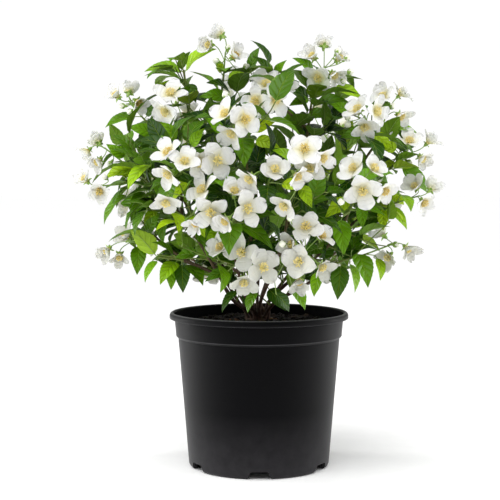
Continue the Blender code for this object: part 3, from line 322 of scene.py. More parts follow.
SPRAYS = (
    Spray("top_left", 0.15, (
        Bloom(222, 36, "UBL", 0, 0.6), Bloom(211, 45, "FL", -8, 0.5),
        Bloom(233, 57.6, "FRU", 10, 0.6)),
        ((228, 47), (216, 61), (246.5, 66.6))),
    Spray("upper_far_left", 0.1, (
        Bloom(118, 97, "FLU", 0, 0.65), Bloom(129, 93, "UB", -14, 0.6),
        Bloom(137, 101, "FRD", 6, 0.6)),
        ((122, 106), (130, 112))),
    Spray("upper_left", 0.5, (
        Bloom(170.6, 95, "FU", 4), Bloom(167, 110, "FDL", 14, 0.95)), ()),
    Spray("far_left", 0.05, (
        Bloom(89, 150, "LD", 0, 0.75), Bloom(99, 143, "UBL", -12, 0.6),
        Bloom(100, 160, "DFL", 10, 0.6)),
        ((110, 164),)),
    Spray("left", 0.35, (
        Bloom(87, 181, "FLU", -6, 0.65), Bloom(99.9, 189.7, "FFD", 12, 0.7)), ((105, 177),)),
    Spray("left_front", 0.9, (
        Bloom(170, 154, "FLU", 0, 0.9), Bloom(184.7, 164, "FU", 12, 0.9),
        Bloom(170, 172, "FDL", 4, 0.85), Bloom(198.5, 161, "FFRD", -10, 0.8),
        Bloom(216, 160.4, "FFR", 8, 1.05)), ()),
    Spray("crest_left", 0.85, (
        Bloom(227, 115.5, "FLU", 0, 0.85), Bloom(243.5, 119.5, "FFR", 10, 0.95),
        Bloom(233.5, 131.5, "FDL", 4, 0.85)),
        ((225.5, 94.6),)),
    Spray("crest", 0.55, (
        Bloom(257, 101, "FFL", 2), Bloom(273, 100, "FR", -6, 1.05), Bloom(266, 86, "UF", -14, 0.9),
        Bloom(283, 90, "URF", -18, 0.6)), ()),
    Spray("middle_left", 0.92, (
        Bloom(166, 200, "FD", -6, 0.9), Bloom(203.8, 191.5, "FUL", 2), Bloom(210.8, 210, "FFD", 12),
        Bloom(198, 221, "DLF", 0, 0.6)), ()),
    Spray("middle", 0.98, (
        Bloom(246, 208.5, "FFR", 6), Bloom(234.5, 193.8, "FU", -8, 0.7),
        Bloom(227.5, 219, "DFL", -4, 0.6)),
        ()),
    Spray("middle_upper", 0.95, (
        Bloom(251.5, 177, "FLD", 6, 0.85), Bloom(275, 171, "FFU", -4, 0.8),
        Bloom(295, 174, "FRD", 2, 0.75)), ()),
    Spray("middle_right", 0.95, (
        Bloom(304.5, 150.5, "FFU", 12, 1.05), Bloom(320.5, 156, "FRD", -2, 0.85),
        Bloom(309.6, 166.3, "FFD", -32, 0.9), Bloom(286, 204, "FDL", 4, 0.85)), ((299, 186),)),
    Spray("right_front", 0.95, (
        Bloom(362.5, 189, "FFD", 12, 1.1), Bloom(355, 170, "FUL", 0, 0.85),
        Bloom(372, 170, "FUR", -8, 0.8), Bloom(382.5, 189, "FRD", -4, 0.85)), ((341, 202),)),
    Spray("upper_right", 0.4, (
        Bloom(359, 111, "FUL", 6, 0.8), Bloom(374.5, 111.5, "FR", -4, 0.95),
        Bloom(364.5, 124.5, "FD", 10, 0.9)),
        ((347.9, 124.7), (347.3, 117))),
    Spray("upper_far_right", -0.2, (
        Bloom(384.5, 98, "FLU", 2, 0.85), Bloom(399, 95.5, "UR", -10, 0.85),
        Bloom(398.6, 114.6, "FRD", 8, 0.75)),
        ((391.6, 106),)),
    Spray("top_right", 0.05, (
        Bloom(324, 46, "UB", -4, 0.65), Bloom(314, 58, "FLU", -10, 0.6),
        Bloom(319, 77, "FFLD", 14, 0.85), Bloom(332, 73.5, "FRD", 4, 0.65),
        Bloom(337, 60, "FRU", -2, 0.6)),
        ((347, 58), (350.5, 72), (343, 81), (338, 51))),
    Spray("far_right_upper", 0.0, (
        Bloom(390, 136.5, "FLU", 2, 0.6), Bloom(409, 143, "FU", -6, 0.85),
        Bloom(427, 143.5, "RU", -10, 0.7), Bloom(420, 157, "FRD", 8, 0.65)), ((409.5, 162.8),)),
    Spray("far_right", 0.2, (
        Bloom(416.4, 188, "FLU", 2, 0.65), Bloom(430, 190, "RUB", -8, 0.65),
        Bloom(422.2, 201, "FDR", 10, 0.8)),
        ()),
    Spray("low_far_right", 0.25, (
        Bloom(384, 236, "UBL", -6, 0.7), Bloom(389.6, 255, "FDL", 8, 0.75),
        Bloom(405.5, 247, "RFD", 0, 0.6)),
        ((396, 244.6),)),
    Spray("low_right", 0.98, (
        Bloom(305.5, 228, "FFU", 6), Bloom(319.4, 237, "FRU", 4, 0.85),
        Bloom(300.6, 261.3, "FFL", 12),
        Bloom(320, 265, "FRD", -6, 0.7), Bloom(294, 244, "FL", -10, 0.6),
        Bloom(299, 279, "DF", -12, 0.6)),
        ((290, 218), (282.2, 244))),
    Spray("low_left", 0.98, (
        Bloom(243.3, 252, "FFL", 6, 1.05), Bloom(261.5, 267, "FFR", 14, 1.05),
        Bloom(222, 249, "FLU", -6, 0.8), Bloom(244, 279.5, "FD", 2, 0.8)), ()),
    Spray("low_far_left", 0.3, (
        Bloom(128, 237.5, "FLU", 4, 0.65), Bloom(142, 240, "FRB", -8, 0.55),
        Bloom(109, 248.5, "LFD", -4, 0.6), Bloom(119.6, 254.5, "DF", 6, 0.6)), ((150.5, 253),)),
    Spray("back_top", -0.62, (
        Bloom(236, 82, "BU"), Bloom(262, 90, "BUR", -8), Bloom(246, 106, "B", -14),
        Bloom(226, 98, "BUL", 16)), ()),
    Spray("back_upper_left", -0.6, (
        Bloom(188, 114, "BUL"), Bloom(164, 130, "BL", -6), Bloom(190, 140, "B", -14),
        Bloom(172, 150, "BLD", 10)), ((176, 102),)),
    Spray("back_upper_right", -0.72, (
        Bloom(318, 110, "BUR"), Bloom(342, 128, "BR", -6), Bloom(314, 140, "B", -12),
        Bloom(338, 150, "BRD", 12)), ((330, 96),)),
    Spray("back_middle_left", -0.97, (
        Bloom(214, 174, "BL"), Bloom(238, 188, "B", -6), Bloom(208, 202, "BD", -8),
        Bloom(232, 160, "BU", 8)), ()),
    Spray("back_middle_right", -0.92, (
        Bloom(290, 176, "BR"), Bloom(314, 190, "BRD", -6), Bloom(284, 204, "BBD", -10),
        Bloom(300, 160, "BU", 8)), ()),
    Spray("back_far_left", -0.6, (
        Bloom(146, 186, "BLU"), Bloom(128, 204, "BL", -4), Bloom(152, 214, "BD", -10)),
        ((138, 172),)),
    Spray("back_far_right", -0.62, (
        Bloom(372, 180, "BRU"), Bloom(388, 204, "BR", -4), Bloom(364, 212, "BD", -10)),
        ((380, 166),)),
    Spray("back_low_left", -0.85, (
        Bloom(196, 244, "BL"), Bloom(220, 256, "BD", -6), Bloom(184, 260, "BLD", -8),
        Bloom(208, 272, "BD", 10)), ()),
    Spray("back_low_right", -0.85, (
        Bloom(312, 246, "BR"), Bloom(334, 258, "BRD", -6), Bloom(298, 262, "BD", -8),
        Bloom(318, 272, "BD", 10)), ()),
)

SHOOTS = (
    Shoot("top_left", "top_left", None, 0, ("top_left",), (
        Leaf(229, 91, 206, 83, 9), Leaf(228, 80, 250, 72, 9), Leaf(222, 74, 213, 60, 8))),
    Shoot("left_crest", "upper_left", (186, 116), -12, (), (
        Leaf(181, 71, 144, 72, 11), Leaf(186, 70, 217, 49, 11), Leaf(189, 84, 196, 103, 12),
        Leaf(181, 90, 158, 84, 10)), (184, 70)),
    Shoot("upper_left", "upper_left", None, 0, ("upper_far_left", "upper_left"), (
        Leaf(141, 117, 156, 101, 10), Leaf(134, 117, 105, 128, 10), Leaf(158, 134, 127.5, 127, 14),
        Leaf(152, 140, 129, 150, 9))),
    Shoot("left", "mid_left", None, 0, ("far_left", "left"), (
        Leaf(125, 156, 106, 144, 14), Leaf(136, 169, 104, 180, 12), Leaf(150, 165, 128, 190, 11),
        Leaf(126, 195, 104, 225, 10), Leaf(144, 192, 130.5, 221.5, 22),
        Leaf(156, 210, 144.5, 227.5, 11))),
    Shoot("left_front", "mid_left", (181, 176), 95, ("left_front",), (
        Leaf(160, 178, 159, 198, 12), Leaf(192, 180, 168, 209, 12), Leaf(192, 146, 205, 128, 12),
        Leaf(176, 140, 160, 122, 12))),
    Shoot("crest", "top_middle", None, 0, ("crest_left", "crest"), (
        Leaf(252, 128, 275, 122, 14), Leaf(262, 112, 290, 108, 12), Leaf(222, 132, 205, 118, 12),
        Leaf(256, 140, 280, 148, 14))),
    Shoot("middle_left", "low_left", None, 0, ("middle_left",), (
        Leaf(173, 212, 178, 233, 13), Leaf(196, 232, 212, 250, 13))),
    Shoot("middle", "front_left", None, 0, ("middle",), (
        Leaf(236, 230, 262, 226, 13), Leaf(222, 230, 206, 240, 12))),
    Shoot("middle_upper", "top_middle", (262, 196), 120, ("middle_upper",), (
        Leaf(266, 188, 262, 160, 14), Leaf(282, 184, 305, 190, 12))),
    Shoot("middle_right", "front", None, 0, ("middle_right",), (
        Leaf(302, 186, 312, 208, 20), Leaf(292, 160, 272, 150, 12), Leaf(300, 200, 318, 218, 14))),
    Shoot("right_front", "right", (348, 214), 95, ("right_front",), (
        Leaf(341, 220, 344, 255, 23), Leaf(349, 200, 325, 218, 16), Leaf(364, 205, 363, 229, 13))),
    Shoot("upper_right", "upper_right", None, 0, ("upper_right", "upper_far_right"), (
        Leaf(386, 127, 418, 134, 9), Leaf(366, 134, 340, 138, 13), Leaf(372, 132, 392, 150, 12),
        Leaf(350, 112, 330, 104, 12))),
    Shoot("far_right_upper", "upper_right", (386, 170), 8, ("far_right_upper",), (
        Leaf(402, 168, 427, 193, 15), Leaf(392, 160, 374, 176, 14), Leaf(396, 150, 380, 141, 13))),
    Shoot("far_right", "right", None, 0, ("far_right",), (
        Leaf(387, 207, 407, 230, 10), Leaf(379, 206, 383, 231, 14), Leaf(402, 195, 411, 212, 11),
        Leaf(392, 196, 404, 205, 10))),
    Shoot("low_far_right", "low_right", None, 0, ("low_far_right",), (
        Leaf(339, 262, 337.5, 300, 22), Leaf(357.5, 254, 368, 288, 20), Leaf(377, 258, 380, 281, 9),
        Leaf(350, 264, 354.5, 293, 8), Leaf(352, 250, 364, 234, 8))),
    Shoot("top_right", "top_right", None, 0, ("top_right",), (
        Leaf(315, 104, 351, 104, 10), Leaf(334, 88, 363, 100, 12), Leaf(308, 100, 282, 84, 10),
        Leaf(313, 74, 292, 58, 9))),
    Shoot("top_middle", "top_right", (286, 110), 35, (), (
        Leaf(272, 78, 252, 56, 10), Leaf(276, 78, 287, 60, 8), Leaf(279, 88, 300, 82, 10)),
        (274, 77)),
    Shoot("low_right", "front", (288, 252), 140, ("low_right",), (
        Leaf(321, 272, 314, 297, 13), Leaf(292, 286, 305, 310, 13), Leaf(276, 294, 289, 312, 11))),
    Shoot("low_left", "front_left", (232, 268), 128, ("low_left",), (
        Leaf(256, 292, 247.5, 313, 10), Leaf(219, 264, 220, 293, 12),
        Leaf(226, 272, 205, 282, 11))),
    Shoot("low_far_left", "left_branch", None, 0, ("low_far_left",), (
        Leaf(139, 246, 137, 275, 17), Leaf(146, 234, 160, 214, 12))),
    Shoot("low_left_leaves", "left_branch", (184, 261), 58, (), (
        Leaf(182, 264, 183, 293, 17), Leaf(168, 262, 171, 290, 15), Leaf(157, 259, 145, 283, 9),
        Leaf(176, 262, 160, 285, 16), Leaf(187, 265, 203, 286, 13)), (157, 257)),
    Shoot("back_left", "back_left", None, 0, ("back_upper_left", "back_far_left"), ()),
    Shoot("back_middle", "back_middle", None, 0, ("back_top", "back_middle_left"), ()),
    Shoot("back_right", "back_right", None, 0, ("back_upper_right", "back_middle_right"), ()),
    Shoot("back_low_left", "back_low_left", None, 0, ("back_low_left",), ()),
    Shoot("back_low_right", "back_low_right", None, 0, ("back_low_right", "back_far_right"), ()),
)

# Leaves that hang before the canes' feet: cane, share of its length, and the leaf at its depth
CANE_LEAVES = (
    ("front_left", 0.42, 0.12, Leaf(247, 290, 249, 312, 15, 62)),
    ("front", 0.40, 0.12, Leaf(269, 289, 286, 311, 16, 66)),
    ("low_right", 0.55, 0.12, Leaf(296, 293, 305, 309, 9, 58)),
    ("low_left", 0.50, 0.12, Leaf(238, 291, 222, 313, 8, 70)),
    ("top_left", 0.86, 0.35, Leaf(227, 98, 199, 97, 13, 6)),
    ("top_right", 0.90, 0.40, Leaf(308, 99, 289, 106, 11, 4)),
    ("top_right", 0.84, 0.45, Leaf(285, 111, 297, 127, 13, 12)),
    ("top_right", 0.82, 0.15, Leaf(306, 113, 296, 124, 10, -6)),
    ("top_right", 0.80, 0.30, Leaf(309, 114, 333, 117, 12, 6)),
)


def photo_point(col, row, depth):
    """The place seen at a pixel of the photograph, this many millimetres before the pot's axis."""
    up = Vector((0, math.sin(EYE_PITCH), math.cos(EYE_PITCH)))
    sight = Vector((0, math.cos(EYE_PITCH), -math.sin(EYE_PITCH)))
    sight += (col - PHOTO_CENTRE) / PHOTO_FOCAL * Vector((1, 0, 0))
    sight += (PHOTO_CENTRE - row) / PHOTO_FOCAL * up
    return EYE + sight * ((-depth / 1000 - EYE.y) / sight.y)


def dome_depth(col, row, share):
    """Millimetres before the axis of the bush's surface at a pixel, times a share of it."""
    across = (col - DOME_COL) / DOME_HALF_COLS
    up = (row - DOME_ROW) / DOME_HALF_ROWS
    bulge = math.sqrt(max(DOME_EDGE ** 2, 1 - across * across - up * up))
    return 1000 * DOME_DEPTH * share * bulge


def facing(letters):
    """The direction that a flower's letters say, such as FL for front and left."""
    return sum((FACING[letter] for letter in letters), Vector()).normalized()


def square_to(direction):
    """Two directions square to this one and to each other."""
    first = direction.cross(Vector((0, 0, 1)))
    if first.length < 0.05:
        first = direction.cross(Vector((0, 1, 0)))
    first.normalize()
    return first, direction.cross(first).normalized()


def curve_points(start, start_way, end, end_way, count):
    """Points along a smooth curve that leaves and arrives in given directions."""
    reach = (end - start).length * CURVE_HANDLE
    near = start + start_way * reach
    far = end - end_way * reach
    points = []
    for step in range(count + 1):
        t = step / count
        s = 1 - t
        points.append(start * s ** 3 + near * (3 * s * s * t) + far * (3 * s * t * t)
                      + end * t ** 3)
    return points


def along_line(points, share):
    """Place and direction at a share of a line's length."""
    lengths = [(b - a).length for a, b in zip(points, points[1:])]
    left = share * sum(lengths)
    for a, b, length in zip(points, points[1:], lengths):
        if left <= length or b is points[-1]:
            way = (b - a).normalized()
            return a + way * min(left, length), way
        left -= length
    return points[-1], (points[-1] - points[-2]).normalized()


def line_length(points):
    """The length of a line of points."""
    return sum((b - a).length for a, b in zip(points, points[1:]))


def branching_place(points, place):
    """Where a side branch to a place leaves a cane: some way down from the nearest point."""
    shares = [k / BRANCH_STEPS for k in range(BRANCH_STEPS + 1)]
    nearest = min(shares, key=lambda share: (along_line(points, share)[0] - place).length)
    return along_line(points, max(0.1, nearest - BRANCH_DROP / line_length(points)))[0]


def seen_gap(spot, col, row):
    """How far a place is from a pixel's line of sight, in the place's own depth."""
    return (photo_point(col, row, -1000 * spot.y) - spot).length


def nearest_seen(points, col, row):
    """The place on a line of points that looks nearest to a pixel."""
    spots = [along_line(points, k / SEEN_STEPS)[0] for k in range(SEEN_STEPS + 1)]
    return min(spots, key=lambda spot: seen_gap(spot, col, row))


def sunk(place, root):
    """A root carried a little past the middle of what it grows from."""
    return root + (root - place).normalized() * ROOT_DEPTH


class Marks:
    """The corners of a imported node, which show where each of its leaves and flowers was put."""

    def __init__(self, node):
        corners = frame["nodes"][node].data.vertices
        self.tree = KDTree(len(corners))
        for number, corner in enumerate(corners):
            self.tree.insert(corner.co, number)
        self.tree.balance()
        faces = [tuple(face.vertices) for face in frame["nodes"][node].data.polygons]
        self.surface = BVHTree.FromPolygons([corner.co for corner in corners], faces)

    def off_surface(self, place):
        """How far a place is from the node's surface."""
        return self.surface.find_nearest(place)[3]

    def pick(self, options):
        """What comes with the first set of places that are all corners of the node, or None."""
        for places, what in options:
            if all(self.tree.find(place)[2] < MARK_REACH for place in places):
                return what
        return None


def grow_canes():
    """Each cane's name and points, from the crown in the soil or from the cane that carries it."""
    canes = {}
    for cane in CANES:
        outer = [photo_point(*point) for point in cane.points]
        if cane.parent is None:
            way = Vector((outer[0].x, outer[0].y, 0)).normalized()
            foot = way * CROWN_RADIUS * CANE_FOOT_SPREAD + Vector((0, 0, CANE_FOOT))
            rise = way * CROWN_RADIUS * CANE_RISE_SPREAD + Vector((0, 0, CANE_RISE))
            canes[cane.name] = [foot, rise] + outer
        else:
            canes[cane.name] = [branching_place(canes[cane.parent], outer[0])] + outer
    return canes


def bloom_place(spray, bloom, more):
    """Where a flower sits: at its own pixel, and at the depth that its spray keeps."""
    cols = [row.col for row in spray.blooms]
    rows = [row.row for row in spray.blooms]
    depth = dome_depth(sum(cols) / len(cols), sum(rows) / len(rows), spray.share)
    return photo_point(bloom.col, bloom.row, depth + bloom.ahead + more)


def spray_back(spray):
    """The place behind the middle of a spray's flowers, where its axis ends."""
    backs = [bloom_place(spray, bloom, 0) - facing(bloom.face) * BLOOM_BACK
             for bloom in spray.blooms]
    return sum(backs, Vector()) / len(backs)


def shoot_lines(shoot, canes):
    """A shoot's twigs as points from coarse to fine, its side branch, and each spray's start."""
    cane = canes[shoot.cane]
    branch = None
    if shoot.start is None:
        start = cane[-1]
        way = (cane[-1] - cane[-2]).normalized()
    else:
        start = photo_point(*shoot.start, shoot.depth)
        foot = branching_place(cane, start)
        way = (start - foot).normalized()
        branch = (foot, start)
    start = start + way * GAP
    twigs, curves, sprays = [], [], {}
    for name in shoot.sprays:
        back = spray_back(next(row for row in SPRAYS if row.name == name))
        end = start + (back - start) * TWIG_SHARE
        end_way = (back - end).normalized()
        if twigs:
            fork, fork_way = along_line(twigs[0], FORK_SHARE)
            ends, steps = (sunk(end, fork), fork_way, end, end_way), 3
        else:
            ends, steps = (start, way, end, end_way), 4
        twigs.append(curve_points(*ends, steps))
        curves.append(curve_points(*ends, TWIG_STEPS))
        sprays[name] = (end + end_way * GAP, back)
    if shoot.tip is not None:
        end = photo_point(*shoot.tip, shoot.depth)
        ends = (start, way, end, (end - start).normalized())
        twigs.append(curve_points(*ends, 4))
        curves.append(curve_points(*ends, TWIG_STEPS))
    return twigs, curves, branch, sprays


def leaf_marks(base, tip, normal):
    """Two corners of a leaf's solid: its tip, and its ridge where it is widest."""
    along = (tip - base).normalized()
    length = (tip - base).length
    normal = (normal - along * normal.dot(along)).normalized()
    rise = length * LEAF_ARCH * 4 * LEAF_WIDEST * (1 - LEAF_WIDEST) + MARK_THICKNESS / 2
    return tip, base + along * length * LEAF_WIDEST + normal * rise


def turned_normal(base, tip, half, seen_width):
    """The way a leaf's face turns when it looks as wide as it does in the photograph."""
    scale = (base - EYE).length / PHOTO_FOCAL
    share = min(1.0, max(0.2, seen_width * scale / (2 * half)))
    along = (tip - base).normalized()
    view = (EYE - base).normalized()
    flat = along.cross(view).normalized()
    deep = along.cross(flat).normalized()
    roll = math.acos(share)
    choices = []
    for sign in (1, -1):
        side = flat * math.cos(roll) + deep * (sign * math.sin(roll))
        normal = side.cross(along).normalized()
        choices.append(normal if normal.dot(view) >= 0 else normal * -1)
    return max(choices, key=lambda way: way.z)


def leaf_root(points, base, along, number):
    """Where on a twig the stalk roots: near the leaf's base, and behind it on its own line."""
    best, least = None, None
    for k in range(ROOT_STEPS):
        spot, _ = along_line(points, 0.04 + 0.92 * (k + 0.1 * number) / ROOT_STEPS)
        reach = base - spot
        bend = 1 - reach.normalized().dot(along) if reach.length > 0 else 1
        cost = reach.length + ROOT_BEND_COST * bend
        if least is None or cost < least:
            best, least = spot, cost
    return best


def read_leaf_options(leaf, points, number):
    """The places that a leaf read off the photograph may have, each with its marks."""
    near = nearest_seen(points, leaf.col, leaf.row)
    for more in DEPTH_TRIALS:
        for lean in LEAN_TRIALS:
            depth = -1000 * near.y + more
            base = photo_point(leaf.col, leaf.row, depth)
            tip = photo_point(leaf.tip_col, leaf.tip_row, depth + leaf.lean + lean)
            along = (tip - base).normalized()
            root = leaf_root(points, base, along, number)
            if (base - root).length < STALK_LENGTH:
                base = root + along * STALK_LENGTH
            half = (tip - base).length * LEAF_RATIO / 2
            half = min(LEAF_MOST_HALF_WIDTH, max(LEAF_LEAST_HALF_WIDTH, half))
            normal = turned_normal(base, tip, half, leaf.width)
            yield leaf_marks(base, tip, normal), (sunk(base, root), base, tip, half, normal)


def read_leaves(shoot, twigs, marks):
    """The leaves that the photograph shows, each on the twig that looks nearest to it."""
    for number, leaf in enumerate(shoot.leaves):
        points = min(twigs, key=lambda twig: seen_gap(nearest_seen(twig, leaf.col, leaf.row),
                                                      leaf.col, leaf.row))
        options = list(read_leaf_options(leaf, points, number))
        yield marks.pick(options) or options[0][1]


def ruled_leaves(points, count, marks, draw):
    """Opposite pairs of leaves along a twig, each pair a quarter turn from the last."""
    for number in range(count):
        share = 0.22 + 0.74 * number / max(1, count - 1)
        turn = math.pi / 2 * number + draw.uniform(-0.3, 0.3)
        for side in (0, 1):
            place, way = along_line(points, share + 0.02 * side)
            length = draw.uniform(*RULED_LEAF_LENGTH)
            options = []
            for _ in range(RULED_TRIALS):
                rise, swing = draw.uniform(-0.35, 0.35), draw.uniform(-0.25, 0.25)
                options.append(ruled_leaf(place, way, turn + math.pi * side, length, rise, swing))
            leaf = marks.pick((leaf_marks(*leaf[1:3], leaf[4]), leaf) for leaf in options)
            if leaf is not None:
                yield leaf


def ruled_leaf(place, way, turn, length, rise, swing):
    """A leaf that leaves its twig sideways, arches outward and hangs a little."""
    first, second = square_to(way)
    arm = first * math.cos(turn) + second * math.sin(turn)
    out = (place - DOME_CENTRE).normalized()
    aim = arm + way * (0.45 + rise) + out * 0.35 + first * swing + Vector((0, 0, -0.25))
    aim.normalize()
    base = place + aim * STALK_LENGTH
    normal = Vector((0, 0, 0.9)) + out * 0.6
    return sunk(base, place), base, base + aim * length, length * LEAF_RATIO / 2, normal


def placed_blooms(spray, marks, draw):
    """Each flower's place, way, turn about its stalk, radius, and how far it has opened."""
    for bloom in spray.blooms:
        radius = BLOOM_RADIUS * bloom.size * draw.uniform(0.94, 1.06)
        twist = draw.uniform(0, math.pi / 2)
        way = facing(bloom.face)
        places = [bloom_place(spray, bloom, more) for more in DEPTH_TRIALS]
        place = marks.pick(((place + way * TUFT_HEIGHT,), place) for place in places) or places[0]
        yield place, way, twist, radius, min(1.0, bloom.size)


def placed_buds(spray, points, marks):
    """Each bud's place and way, and the root of its stalk."""
    for number, (col, row) in enumerate(spray.buds):
        depth = dome_depth(col, row, spray.share)
        options = []
        for more in DEPTH_TRIALS:
            place = photo_point(col, row, depth + more)
            for share in ROOT_TRIALS:
                root, _ = along_line(points, share - 0.05 - 0.03 * number)
                way = (place - root).normalized() * 1.2 + (place - DOME_CENTRE).normalized()
                way.normalize()
                options.append(((place + way * BUD_LENGTH / 2,), (place, way, root)))
        yield marks.pick(options) or options[0][1]


def lens(rows, columns):
    """The grid of a thin closed blade: shares along and across, side (1, 0 or -1), and faces."""
    inner = range(1, rows)
    spots = [(0.0, 0.0, 0), (1.0, 0.0, 0)]
    spots += [(r / rows, 2 * c / columns - 1, int(0 < c < columns))
              for r in inner for c in range(columns + 1)]
    spots += [(r / rows, 2 * c / columns - 1, -1) for r in inner for c in range(1, columns)]

    def above(row, column):
        return 2 + (row - 1) * (columns + 1) + column

    def below(row, column):
        if column in (0, columns):
            return above(row, column)
        return 2 + (rows - 1) * (columns + 1) + (row - 1) * (columns - 1) + column - 1

    patches = []
    for index, turn in ((above, 1), (below, -1)):
        wedges = [(0, index(1, c + 1), index(1, c))[::turn] for c in range(columns)]
        wedges += [(1, index(rows - 1, c), index(rows - 1, c + 1))[::turn] for c in range(columns)]
        quads = [(index(r, c), index(r, c + 1), index(r + 1, c + 1), index(r + 1, c))[::turn]
                 for r in range(1, rows - 1) for c in range(columns)]
        patches.append((np.array(quads), np.array(wedges)))
    return np.array(spots), patches


def lathe_faces(rings, sides):
    """The faces of rings of corners between two closing corners, which come first and last."""
    quads, wedges = [], []
    last = 1 + rings * sides
    for k in range(sides):
        n = (k + 1) % sides
        wedges.append((0, 1 + n, 1 + k))
        wedges.append((last, last - sides + k, last - sides + n))
        for ring in range(rings - 1):
            a = 1 + ring * sides
            quads.append((a + k, a + n, a + sides + n, a + sides + k))
    return np.array(quads).reshape(-1, 4), np.array(wedges)


def blade_values(along, across, tone):
    """The "blade" value of each corner of one leaf, petal or round body."""
    return np.stack([along, across, np.full(len(along), tone)], axis=1)


def add_object(name, data):
    """Puts a new object with this data in the scene."""
    made = bpy.data.objects.new(name, data)
    bpy.context.scene.collection.objects.link(made)
    return made


class Skin:
    """Corners and faces gathered for one piece, with a finish for each patch of faces.

    Each corner carries a "blade" value: its share along and across its leaf or petal, and a tone
    from 0 to 1 that is the same all over that leaf or petal.
    """

    def __init__(self):
        self.corners, self.blades, self.patches = [], [], []
        self.count = 0

    def add(self, corners, blades, patches):
        """Adds corners with their blade values, and patches of faces with their finishes."""
        for faces, finish in patches:
            if len(faces):
                self.patches.append((faces + self.count, finish))
        self.corners.append(corners)
        self.blades.append(np.broadcast_to(blades, corners.shape))
        self.count += len(corners)

    def round_body(self, rings, start, end, finish, tone=0.5):
        """Rings of corners, all of the same number, closed to a corner at each end."""
        rings = np.asarray(rings)
        count, sides = rings.shape[:2]
        quads, wedges = LATHES.setdefault((count, sides), lathe_faces(count, sides))
        corners = np.vstack([[start], rings.reshape(-1, 3), [end]])
        shares = np.concatenate([[0.0], np.repeat(np.linspace(0, 1, count), sides), [1.0]])
        turns = np.linspace(-1, 1, sides, endpoint=False)
        around = np.concatenate([[0.0], np.tile(turns, count), [0.0]])
        self.add(corners, blade_values(shares, around, tone), [(quads, finish), (wedges, finish)])

    def tube(self, points, radii, sides, finish, tone=0.5):
        """A closed round tube along points."""
        points = np.array([tuple(point) for point in points])
        ways = np.diff(points, axis=0)
        ways /= np.linalg.norm(ways, axis=1)[:, None]
        ways = np.vstack([ways[:1], (ways[:-1] + ways[1:]) / 2, ways[-1:]])
        ways /= np.linalg.norm(ways, axis=1)[:, None]
        across = np.array(square_to(Vector(ways[0]))[0])
        turns = np.linspace(0, 2 * math.pi, sides, endpoint=False)
        rings = []
        for point, way, radius in zip(points, ways, np.broadcast_to(radii, len(points))):
            across = across - way * across.dot(way)
            across /= np.linalg.norm(across)
            up = np.cross(way, across)
            spokes = np.outer(np.cos(turns), across) + np.outer(np.sin(turns), up)
            rings.append(point + radius * spokes)
        start = points[0] - ways[0] * radii[0] * 0.4
        end = points[-1] + ways[-1] * radii[-1] * 0.4
        self.round_body(rings, start, end, finish, tone)

    def piece(self, name, node=None, sharp=50):
        """Makes the mesh object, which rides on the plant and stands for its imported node."""
        mesh = bpy.data.meshes.new(name)
        corners = np.vstack(self.corners).astype(np.float32)
        loops = np.concatenate([faces.ravel() for faces, _ in self.patches])
        sizes = np.concatenate([np.full(len(faces), faces.shape[1]) for faces, _ in self.patches])
        finishes = list(dict.fromkeys(finish for _, finish in self.patches))
        numbers = np.concatenate([np.full(len(faces), finishes.index(finish))
                                  for faces, finish in self.patches])
        mesh.vertices.add(len(corners))
        mesh.vertices.foreach_set("co", corners.ravel())
        mesh.loops.add(len(loops))
        mesh.loops.foreach_set("vertex_index", loops.astype(np.int32))
        mesh.polygons.add(len(sizes))
        mesh.polygons.foreach_set("loop_start", (np.cumsum(sizes) - sizes).astype(np.int32))
        for finish in finishes:
            mesh.materials.append(MATERIALS[finish])
        mesh.polygons.foreach_set("material_index", numbers.astype(np.int32))
        blades = mesh.attributes.new("blade", "FLOAT_VECTOR", "POINT")
        blades.data.foreach_set("vector", np.vstack(self.blades).astype(np.float32).ravel())
        mesh.update(calc_edges=True)
        mesh.validate()
        mesh.shade_smooth()
        mesh.set_sharp_from_angle(angle=math.radians(sharp))
        made = add_object(name, mesh)
        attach(made, "root")
        if node is not None:
            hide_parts(node)
        return made


def frame_of(along, normal):
    """The side, along and normal directions of a blade, as rows."""
    along = along.normalized()
    normal = (normal - along * normal.dot(along)).normalized()
    return np.array([along.cross(normal), along, normal])


